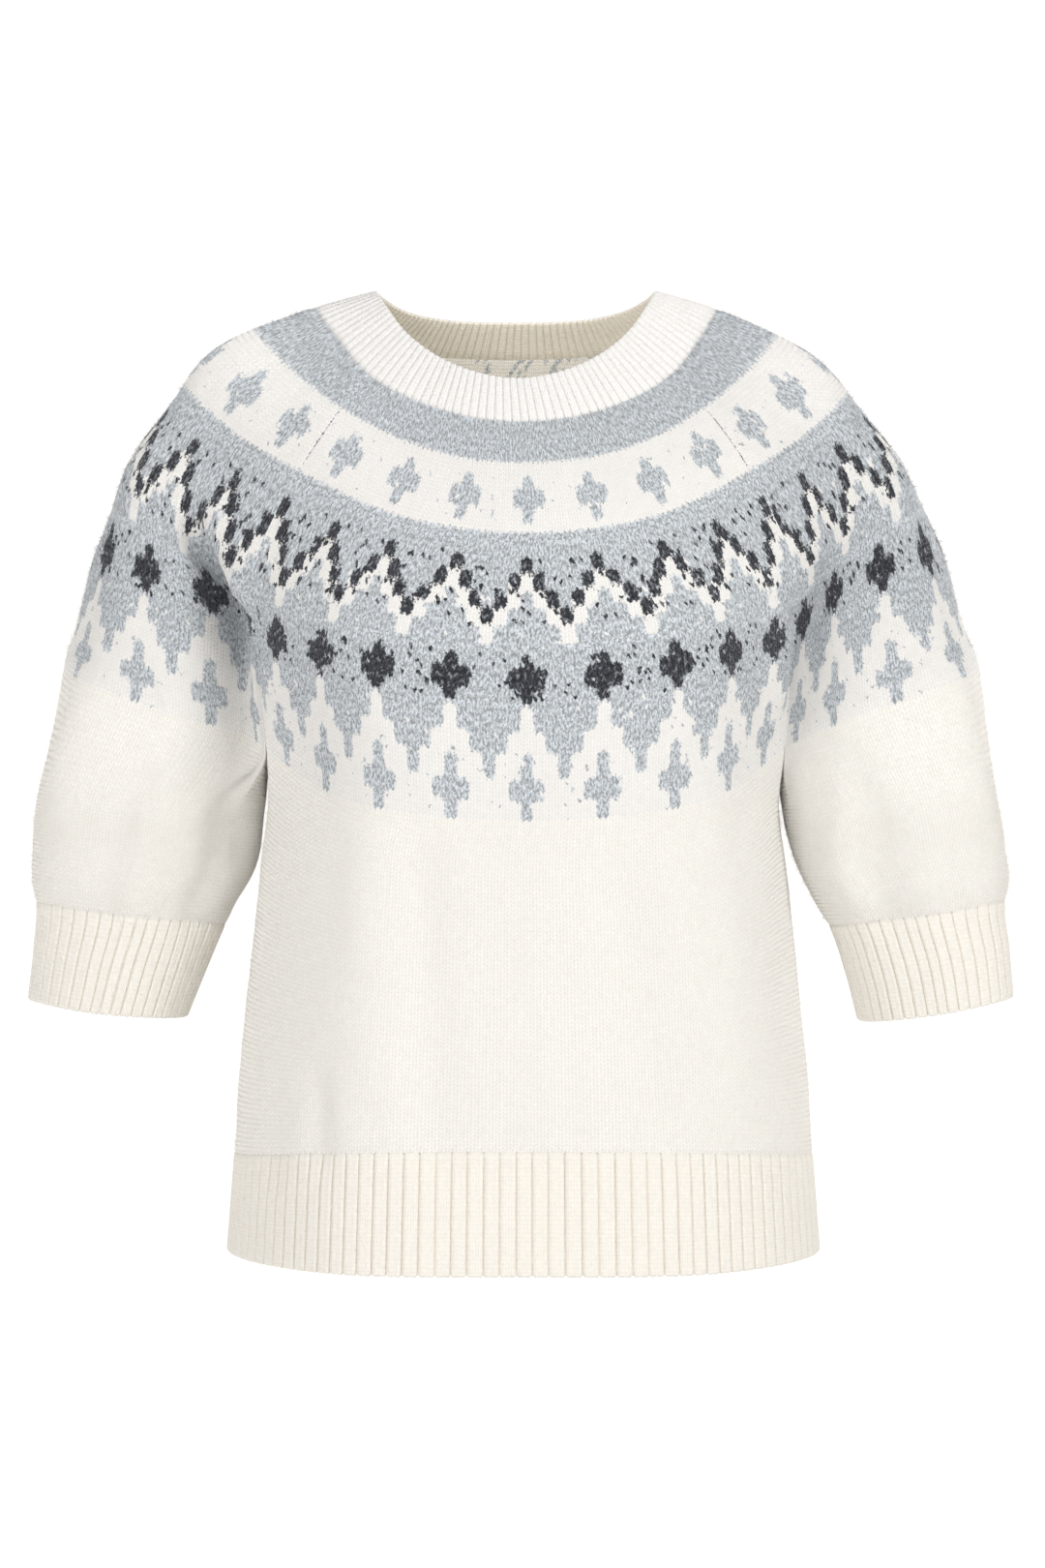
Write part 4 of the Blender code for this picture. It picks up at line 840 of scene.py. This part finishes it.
def rib_piece(name, run, t0, t1, v0, v1, ribs, rows, profile, depth, material, seed, closed, rim, flat_out=4.0):
    """A ribbed band. run(ts, rows, lift) gives the cloth; rim says which edge is free: top or foot."""
    rng = np.random.default_rng(seed)
    m = Mesh()
    ph = np.array([p[0] for p in profile])
    hh = np.array([p[1] for p in profile])*depth
    uu = np.array([p[2] for p in profile])
    k = len(ph)
    width = (t1 - t0)/ribs
    wobble = np.cumsum(rng.normal(0, 0.03, ribs + 1))
    wobble -= np.linspace(wobble[0], wobble[-1], ribs + 1)
    base = t0 + width*(np.arange(ribs + 1) + wobble)
    ts = (base[:-1, None] + np.diff(base)[:, None]*ph[None, :]).ravel()
    lift = np.tile(hh, ribs)*np.repeat(rng.uniform(0.85, 1.12, ribs), k)
    un = (np.arange(ribs)[:, None]*3 + uu[None, :]).ravel()
    if not closed:
        ts = np.append(ts, t1)
        lift = np.append(lift, lift[0])
        un = np.append(un, ribs*3)
    ramp = 1.5                                        # the free edge is round
    a, b = (v0 + ramp, v1) if rim == "top" else (v0, v1 - ramp)
    vs = np.linspace(a, b, rows + 1)
    wall = RIB_WALL
    few = np.linspace(a, b, max(3, rows//3) + 1)
    seam = v1 if rim == "top" else v0
    ease = lambda v: np.clip(np.abs(v - seam)/flat_out, 0, 1)**0.7      # the ribs flatten into the seam
    lay = lambda v: v if abs(v - seam) > 1e-6 else v + (TUCK if rim == "top" else -TUCK)
    sink = lambda v: 0.0 if abs(v - seam) > 1e-6 else -0.6
    outer_p = np.stack([run(ts, [lay(v)], lift*ease(v) + 0.1*(1 - ease(v)) + sink(v))[0] for v in vs])
    thick = lambda v: WALL + (wall - WALL)*min(abs(v - seam)/7.0, 1.0)
    inner_p = np.stack([run(ts, [v], -thick(v) - (0.4 + 0.6/depth)*lift*ease(v))[0] for v in few])
    if rim == "top":
        outer_p, inner_p = outer_p, inner_p
        e_out, e_in = outer_p[0], inner_p[0]
        away = outer_p[0] - outer_p[1]
    else:
        e_out, e_in = outer_p[-1], inner_p[-1]
        away = outer_p[-1] - outer_p[-2]
    away /= np.linalg.norm(away, axis=-1, keepdims=True)
    mid, half = (e_out + e_in)/2, (e_out - e_in)/2
    r = np.linalg.norm(half, axis=-1, keepdims=True)
    arc = [mid + half*math.cos(f) + away*r*1.0*math.sin(f) for f in np.radians([30, 62, 90, 118, 150])]
    # rings in order: outer far edge .. outer free edge, arc, inner free edge .. inner far edge
    outer_seq = outer_p if rim == "foot" else outer_p[::-1]
    inner_seq = inner_p[::-1] if rim == "foot" else inner_p
    v_out = list(vs if rim == "foot" else vs[::-1])
    v_in = list(few[::-1] if rim == "foot" else few)
    rings = list(outer_seq) + arc + list(inner_seq)
    vv = [x/2.6 for x in v_out] + [v_out[-1]/2.6 + 0.5]*len(arc) + [x/2.6 for x in v_in]
    ids = [m.add(x, (0, 0, 1) if rim == "top" else (0, 0, 0), outside=0.0 if i >= len(outer_seq) + 3 else 1.0) for i, x in enumerate(rings)]
    n = len(ts)
    nxt = np.arange(1, n + 1) % n if closed else np.arange(1, n)
    cur = np.arange(n) if closed else np.arange(n - 1)
    for j in range(len(ids)):
        if j == len(ids) - 1:
            A, B = ids[-1], ids[0]                    # the seam edge closes the wall
        else:
            A, B = ids[j], ids[j+1]
        f = np.stack([A[cur], B[cur], B[nxt], A[nxt]], 1)
        u_a = un[cur]
        u_b = np.where(nxt == 0, ribs*3, un[nxt])
        va, vb = (vv[j], vv[j+1]) if j < len(ids) - 1 else (vv[-1], vv[-1])
        u = np.stack([np.stack([u_a, np.full(len(cur), va)], 1), np.stack([u_a, np.full(len(cur), vb)], 1),
                      np.stack([u_b, np.full(len(cur), vb)], 1), np.stack([u_b, np.full(len(cur), va)], 1)], 1)
        m.faces(f, u, flat=j == len(ids) - 1)
    if not closed:
        for e, fl in ((0, True), (n - 1, False)):
            loop = [i[e] for i in ids]
            half_n = len(vs)
            out_run = loop[:half_n + 3]
            in_run = loop[half_n + 2:][::-1]
            ta = np.linspace(0, 1, len(out_run))
            tb = np.linspace(0, 1, len(in_run))
            # ends meet at the shared arc point
            m.zip(out_run, ta, in_run, tb, flat=True, flip=fl)
    return m.build(name, material)


# ----------------------------------------------------------------------------
# Materials
# ----------------------------------------------------------------------------
def yarn_material(name, bump_stitch, shade, marl=1.0, groove_shade=0.0, shade_tone=1.0, inner=(1.0, 0.99, 0.95), hue=(1, 1, 1)):
    """Brushed wool blend.  The mesh says how much of each yarn there is; the nodes turn that into
    fibrous edges between the yarns, marl, V stitches and fibres."""
    mat = bpy.data.materials.new(name)
    mat.use_nodes = True
    nt = mat.node_tree
    nt.nodes.clear()
    N = lambda t, **kw: make_node(nt, t, **kw)
    L = nt.links.new
    out = N("ShaderNodeOutputMaterial")
    bsdf = N("ShaderNodeBsdfPrincipled")
    L(bsdf.outputs["BSDF"], out.inputs["Surface"])
    bsdf.inputs["Roughness"].default_value = 0.95
    bsdf.inputs["Specular IOR Level"].default_value = 0.10
    bsdf.inputs["Sheen Weight"].default_value = 0.22
    bsdf.inputs["Sheen Roughness"].default_value = 0.6
    bsdf.inputs["Sheen Tint"].default_value = (0.99, 0.98, 0.96, 1)

    def put(v, socket):
        if isinstance(v, (int, float)):
            socket.default_value = v
        else:
            L(v, socket)

    def math_(op, a, b=None, clamp=False):
        n = N("ShaderNodeMath", operation=op, use_clamp=clamp)
        for i, v in enumerate((a, b)):
            if v is not None:
                put(v, n.inputs[i])
        return n.outputs[0]

    def noise(scale, detail, rough=0.5, vector=None):      # scale per metre, or per stitch and row
        n = N("ShaderNodeTexNoise")
        n.inputs["Scale"].default_value = scale
        n.inputs["Detail"].default_value = detail
        n.inputs["Roughness"].default_value = rough
        L(geo.outputs["Object"] if vector is None else vector, n.inputs["Vector"])
        return n.outputs["Fac"]

    def step(v, lo, hi):
        n = N("ShaderNodeMapRange", interpolation_type="SMOOTHSTEP", clamp=True)
        L(v, n.inputs["Value"])
        n.inputs["From Min"].default_value = lo
        n.inputs["From Max"].default_value = hi
        return n.outputs[0]

    def mix(f, a, b, blend="MIX"):
        n = N("ShaderNodeMix", data_type="RGBA", blend_type=blend)
        put(f, n.inputs["Factor"])
        for v, socket in ((a, n.inputs["A"]), (b, n.inputs["B"])):
            if isinstance(v, (tuple, list, np.ndarray)):
                socket.default_value = (float(v[0]), float(v[1]), float(v[2]), 1)
            else:
                L(v, socket)
        return n.outputs["Result"]

    def along(x, y, wander=None):
        """Noise coordinates in stitches across and rows down, stretched by x and y."""
        n = N("ShaderNodeVectorMath", operation="MULTIPLY")
        L(uv.outputs["UV"], n.inputs[0])
        n.inputs[1].default_value = (x, y, 1)
        return n.outputs[0]

    geo = N("ShaderNodeTexCoord")
    uv = N("ShaderNodeUVMap", uv_map="knit")
    sep = N("ShaderNodeSeparateXYZ")
    L(uv.outputs["UV"], sep.inputs[0])
    # a little wander, so that the stitches aren't ruled
    wob = math_("MULTIPLY", math_("SUBTRACT", noise(260, 2), 0.5), 0.9)
    legs = math_("ABSOLUTE", math_("SINE", math_("MULTIPLY", math_("ADD", sep.outputs["X"], math_("MULTIPLY", wob, 0.25)), 2*math.pi)))
    rows = math_("ABSOLUTE", math_("SINE", math_("MULTIPLY", math_("ADD", sep.outputs["Y"], wob), math.pi)))
    stitch = math_("MULTIPLY", math_("POWER", legs, 0.6), math_("POWER", rows, 0.6))
    fibre = noise(1300, 3, 0.65)
    lump = noise(330, 3, 0.6)
    streak = noise(1.0, 2, 0.6, along(2.7, 0.85))
    grain = noise(1.0, 2, 0.6, along(5.0, 2.2))
    felt = noise(620, 2, 0.6)

    # ---- which yarn
    att = N("ShaderNodeAttribute", attribute_name="yarn")
    w = N("ShaderNodeSeparateColor")
    L(att.outputs["Color"], w.inputs[0])
    dark, grey, white = w.outputs[0], w.outputs[1], w.outputs[2]
    inside = math_("SUBTRACT", 1.0, att.outputs["Alpha"], clamp=True)
    fray = math_("ADD", math_("MULTIPLY", math_("SUBTRACT", felt, 0.5), FRAY["felt"]),
                 math_("MULTIPLY", math_("SUBTRACT", grain, 0.5), FRAY["grain"]))

    def edge_of(v):
        """1 on the border between two yarns, 0 where there is only one."""
        return math_("MULTIPLY", math_("MULTIPLY", v, 5.0, clamp=True),
                     math_("MULTIPLY", math_("SUBTRACT", 1.0, v, clamp=True), 5.0, clamp=True))
    t_dark = step(math_("ADD", dark, math_("MULTIPLY", fray, edge_of(dark))), 0.41, 0.57)
    among = math_("DIVIDE", grey, math_("SUBTRACT", 1.02, dark), clamp=True)
    t_grey = step(math_("ADD", among, math_("MULTIPLY", fray, edge_of(among))), 0.46, 0.62)
    t_white = step(math_("DIVIDE", white, math_("SUBTRACT", 1.02, math_("ADD", dark, grey, clamp=True))), 0.3, 0.7)

    # ---- marl of the grey and the charcoal, fine flecks in the light yarns
    light = mix(t_white, YARN["c"]*np.array(hue), YARN["w"])
    light = mix(math_("MULTIPLY", step(grain, 0.56, 0.74), 0.45), light, (0.965, 0.925, 0.88), "MULTIPLY")
    m2 = step(math_("ADD", math_("MULTIPLY", streak, 0.60), math_("MULTIPLY", grain, 0.40)), 0.40, 0.60)
    grey_c = mix(m2, YARN["g"]*(1 - MARL*marl), YARN["g"]*(1 + 0.80*MARL*marl))
    fleck = noise(1.0, 2, 0.6, along(1.7, 0.9))
    dark_c = mix(step(math_("ADD", math_("MULTIPLY", fleck, 0.7), math_("MULTIPLY", grain, 0.3)), 0.42, 0.56), YARN["d"]*0.28, YARN["d"]*1.5)
    dark_c = mix(math_("MULTIPLY", step(fleck, 0.57, 0.65), 0.8), dark_c, YARN["g"]*0.5)
    col = mix(t_grey, light, grey_c)
    col = mix(t_dark, col, dark_c)
    # painted shade: the hollows between the stitches are coloured warmer and darker
    depth = math_("MULTIPLY", math_("SUBTRACT", 1.0, stitch, clamp=True), shade)
    col = mix(depth, col, (0.74, 0.67, 0.60), "MULTIPLY")
    place = N("ShaderNodeSeparateXYZ")
    L(geo.outputs["Object"], place.inputs[0])
    at_neck = math_("MULTIPLY", step(place.outputs["Z"], -0.20, -0.12), (0.945 - shade_tone) if groove_shade else 0.0)      # painted shade: the hem and cuff ribs below are deeper, so their colour is darkened a little more than at the neckband
    gain = math_("ADD", math_("ADD", shade_tone, at_neck), math_("MULTIPLY", math_("SUBTRACT", lump, 0.5), 0.10))
    scale = N("ShaderNodeVectorMath", operation="SCALE")
    L(col, scale.inputs[0])
    L(gain, scale.inputs["Scale"])
    # light that comes through the cloth is warm
    warm = mix(inside, scale.outputs[0], inner, "MULTIPLY")
    if groove_shade:                                        # painted shade: the hollows between the ribs, three stitches apart, are coloured darker and warmer, more so on the inside
        across = math_("PINGPONG", math_("ADD", sep.outputs["X"], math_("MULTIPLY", wob, 0.12)), 1.5)
        line = math_("MULTIPLY", math_("SUBTRACT", 1.0, step(across, 0.02, 0.36)),
                     math_("ADD", groove_shade, math_("MULTIPLY", inside, 0.9 - groove_shade)))
        warm = mix(line, warm, (0.80, 0.71, 0.60), "MULTIPLY")
    L(warm, bsdf.inputs["Base Color"])
    # and the inside glows a little with it
    through = mix(1.0, warm, (1.0, 0.97, 0.90), "MULTIPLY")
    L(through, bsdf.inputs["Emission Color"])
    L(math_("MULTIPLY", inside, GLOW), bsdf.inputs["Emission Strength"])

    height = math_("ADD", math_("MULTIPLY", stitch, bump_stitch),
                   math_("ADD", math_("MULTIPLY", lump, 0.6), math_("MULTIPLY", fibre, 0.45)))
    bump = N("ShaderNodeBump")
    bump.inputs["Strength"].default_value = 1.0
    bump.inputs["Distance"].default_value = 0.0006
    L(height, bump.inputs["Height"])
    L(bump.outputs["Normal"], bsdf.inputs["Normal"])
    return mat


def make_node(nt, kind, **kw):
    n = nt.nodes.new(kind)
    for k, v in kw.items():
        setattr(n, k, v)
    return n


def plain_material(name, colour, rough, glow=0.0):
    mat = bpy.data.materials.new(name)
    mat.use_nodes = True
    b = mat.node_tree.nodes["Principled BSDF"]
    b.inputs["Base Color"].default_value = (*colour, 1)
    b.inputs["Roughness"].default_value = rough
    b.inputs["Specular IOR Level"].default_value = 0.1
    if glow:
        b.inputs["Emission Color"].default_value = (1, 1, 1, 1)
        b.inputs["Emission Strength"].default_value = glow
    return mat


MARL = 0.45                # how far the light and dark fibres of the grey lie from its mean
FRAY = dict(felt=1.1, grain=0.7)
GLOW = 0.165               # light that the cloth lets through to its inside
KNIT = yarn_material("yoke_knit", 0.90, 0.34)
# the ribs are the cream yarn painted a little darker and warmer overall: painted shade of their deep grooves
RIB = yarn_material("rib_knit", 0.55, 0.22, groove_shade=0.34, shade_tone=0.94, inner=(1.0, 0.96, 0.87), hue=(1.0, 0.986, 0.962))


# ----------------------------------------------------------------------------
# The sweater
# ----------------------------------------------------------------------------
def declare(o, node):
    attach(o, "root")
    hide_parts(node)


front = knit_panel("knit_front", "front", 1, KNIT, 1)
back = knit_panel("knit_back", "back", 1, KNIT, 2)
sleeve_l = knit_panel("knit_sleeve_left", "sleeve", 1, KNIT, 3)
sleeve_r = knit_panel("knit_sleeve_right", "sleeve", -1, KNIT, 4)

neckband = rib_piece("rib_neckband", ring_cloth, 0, 384, 0, 34, 132, 13, RIB_1X1, 0.5, RIB, 5, True, "top")


def hem_run(ts, rows, lift):
    ts = np.asarray(ts, float)
    q = plain_cloth("front", 1, ts, rows, 0.0)
    n, _, _ = outward("front", 1, ts, rows)
    return q + n*np.asarray(lift)[None, :, None]*0.001


def hem_run_back(ts, rows, lift):
    ts = np.asarray(ts, float)
    q = plain_cloth("back", 1, ts, rows, 0.0)
    n, _, _ = outward("back", 1, ts, rows)
    return q + n*np.asarray(lift)[None, :, None]*0.001


def cuff_run(side):
    def run(ts, rows, lift):
        c = 47 + np.mod(np.asarray(ts, float) - 47, 98)
        q = plain_cloth("sleeve", side, c, rows, 0.0)
        n, _, _ = outward("sleeve", side, c, rows)
        return q + n*np.asarray(lift)[None, :, None]*0.001
    return run


hem_front = rib_piece("rib_hem_front", hem_run, -65, 65, 484, 559, 57, 29, RIB_2X1, 1.0, RIB, 6, False, "foot")
hem_back = rib_piece("rib_hem_back", hem_run_back, 127, 257, 484, 559, 57, 29, RIB_2X1, 1.0, RIB, 7, False, "foot")
cuff_l = rib_piece("rib_cuff_left", cuff_run(1), 47, 145, 392, 452, 39, 23, RIB_2X1, 1.0, RIB, 8, True, "foot")
cuff_r = rib_piece("rib_cuff_right", cuff_run(-1), 47, 145, 392, 452, 39, 23, RIB_2X1, 1.0, RIB, 9, True, "foot")

PIECES = [
    (front, "front", "yoke_knit", (0.54, 0.50), 0.205),
    (back, "back", "yoke_knit", (0.52, 0.53), 0.214),
    (sleeve_l, "sleeve_left", "yoke_knit", (0.43, 0.45), 0.127),
    (sleeve_r, "sleeve_right", "yoke_knit", (0.43, 0.45), 0.127),
    (neckband, "neckband", "rib_knit", (0.72, 0.034), 0.0225),
    (hem_front, "hem_rib_front", "rib_knit", (0.535, 0.075), 0.040),
    (hem_back, "hem_rib_back", "rib_knit", (0.535, 0.075), 0.040),
    (cuff_l, "cuff_left", "rib_knit", (0.33, 0.062), 0.0204),
    (cuff_r, "cuff_right", "rib_knit", (0.33, 0.062), 0.0204),
]
for o, node, slot, flat, area in PIECES:
    declare(o, node)

for o, *_ in PIECES:
    n = sum(len(p.vertices) - 2 for p in o.data.polygons)
    print(o.name, n, "triangles")

# ----------------------------------------------------------------------------
# Floor, light, camera
# ----------------------------------------------------------------------------
ROOM_TONE = (1.0, 0.978, 0.950, 1)


def room_light(nt, x, y):
    """How bright the room is towards a side: brightest behind the sweater, least at its right."""
    side = make_node(nt, "ShaderNodeMapRange", interpolation_type="SMOOTHSTEP", clamp=True)
    behind = make_node(nt, "ShaderNodeMapRange", interpolation_type="SMOOTHSTEP", clamp=True)
    both = make_node(nt, "ShaderNodeMath", operation="MULTIPLY")
    for node, value, row in ((side, x, (-0.9, 0.2, 0.92, 1.0)), (behind, y, (0.35, 0.85, 0.78, 1.13))):
        nt.links.new(value, node.inputs["Value"])
        for name, v in zip(("From Min", "From Max", "To Min", "To Max"), row):
            node.inputs[name].default_value = v
        nt.links.new(node.outputs[0], both.inputs[0 if node is side else 1])
    return both.outputs[0]


def paper():
    """White paper, lit so that far off it is as bright as the room behind it."""
    mat = plain_material("studio_paper", (0.80, 0.80, 0.80), 0.9, 0.2)
    nt = mat.node_tree
    b = nt.nodes["Principled BSDF"]
    at, flat, unit, sep = (make_node(nt, "ShaderNodeTexCoord"), make_node(nt, "ShaderNodeVectorMath", operation="MULTIPLY"),
                           make_node(nt, "ShaderNodeVectorMath", operation="NORMALIZE"), make_node(nt, "ShaderNodeSeparateXYZ"))
    flat.inputs[1].default_value = (1, 1, 0)
    far = make_node(nt, "ShaderNodeVectorMath", operation="LENGTH")
    nt.links.new(at.outputs["Object"], flat.inputs[0])
    nt.links.new(flat.outputs[0], unit.inputs[0])
    nt.links.new(flat.outputs[0], far.inputs[0])
    nt.links.new(unit.outputs[0], sep.inputs[0])
    ramp = make_node(nt, "ShaderNodeMapRange", interpolation_type="SMOOTHSTEP", clamp=True)
    nt.links.new(far.outputs["Value"], ramp.inputs["Value"])
    for name, v in (("From Min", 0.9), ("From Max", 1.9), ("To Min", 0.0), ("To Max", 1.0)):
        ramp.inputs[name].default_value = v
    less = make_node(nt, "ShaderNodeMath", operation="SUBTRACT")
    nt.links.new(room_light(nt, sep.outputs["X"], sep.outputs["Y"]), less.inputs[0])
    less.inputs[1].default_value = 0.43
    b.inputs["Emission Color"].default_value = ROOM_TONE
    glow = make_node(nt, "ShaderNodeMath", operation="MULTIPLY_ADD")
    nt.links.new(less.outputs[0], glow.inputs[0])
    nt.links.new(ramp.outputs[0], glow.inputs[1])
    glow.inputs[2].default_value = 0.16
    nt.links.new(glow.outputs[0], b.inputs["Emission Strength"])
    return mat


def studio_floor():
    """A plain pale floor, far wider than the pictures."""
    me = bpy.data.meshes.new("studio_floor")
    n, r = 64, 12.0
    v = [(r*math.cos(2*math.pi*i/n), r*math.sin(2*math.pi*i/n), -1.25) for i in range(n)]
    me.from_pydata(v, [], [tuple(range(n))])
    me.materials.append(paper())
    o = bpy.data.objects.new("studio_floor", me)
    bpy.context.scene.collection.objects.link(o)
    return o


studio_floor()


def area_light(name, at, to, size, power, colour=(1, 1, 1)):
    d = bpy.data.lights.new(name, "AREA")
    d.shape = "RECTANGLE"
    d.size, d.size_y = size
    d.energy = power
    d.color = colour
    o = bpy.data.objects.new(name, d)
    o.location = at
    o.rotation_euler = (Vector(to) - Vector(at)).to_track_quat("-Z", "Y").to_euler()
    bpy.context.scene.collection.objects.link(o)
    return o


area_light("key", (2.95, -2.75, 2.50), (0, 0, -0.3), (1.9, 1.9), 109, (0.995, 0.997, 1.0))
area_light("front", (-1.95, -3.95, 0.70), (0, 0, -0.3), (2.2, 1.5), 79, (0.99, 0.995, 1.0))
area_light("top", (0.1, 0.2, 2.2), (0, 0, -0.3), (1.6, 1.6), 21)
area_light("back_l", (1.4, 2.2, 0.8), (0, 0, -0.3), (1.4, 1.4), 17)
area_light("back_r", (-1.6, 1.6, 0.5), (0, 0, -0.3), (1.4, 1.4), 6)


def studio_world():
    """A pale room: bright walls round about, dimmer above and below."""
    world = bpy.data.worlds.new("studio")
    bpy.context.scene.world = world
    world.use_nodes = True
    nt = world.node_tree
    bg = nt.nodes["Background"]
    bg.inputs["Color"].default_value = ROOM_TONE
    at, sep = make_node(nt, "ShaderNodeTexCoord"), make_node(nt, "ShaderNodeSeparateXYZ")
    up = make_node(nt, "ShaderNodeMath", operation="ABSOLUTE")
    to = make_node(nt, "ShaderNodeMapRange", interpolation_type="SMOOTHSTEP", clamp=True)
    nt.links.new(at.outputs["Generated"], sep.inputs[0])
    nt.links.new(sep.outputs["Z"], up.inputs[0])
    nt.links.new(up.outputs[0], to.inputs["Value"])
    for name, v in (("From Min", 0.22), ("From Max", 0.42), ("To Min", 1.0), ("To Max", 0.36)):
        to.inputs[name].default_value = v
    both = make_node(nt, "ShaderNodeMath", operation="MULTIPLY")
    nt.links.new(to.outputs[0], both.inputs[0])
    nt.links.new(room_light(nt, sep.outputs["X"], sep.outputs["Y"]), both.inputs[1])
    nt.links.new(both.outputs[0], bg.inputs["Strength"])


studio_world()

cam_data = bpy.data.cameras.new("camera")
cam_data.sensor_width = 36
cam_data.lens = 93.27
cam_data.clip_end = 50
cam = bpy.data.objects.new("camera", cam_data)
cam.location = (-0.0006, -2.6, -0.2108)
cam.rotation_euler = (math.radians(90 - 2.3214), 0, 0)
bpy.context.scene.collection.objects.link(cam)
bpy.context.scene.camera = cam
bpy.context.scene.view_settings.view_transform = "Standard"
bpy.context.scene.view_settings.look = "None"

bpy.context.view_layer.update()
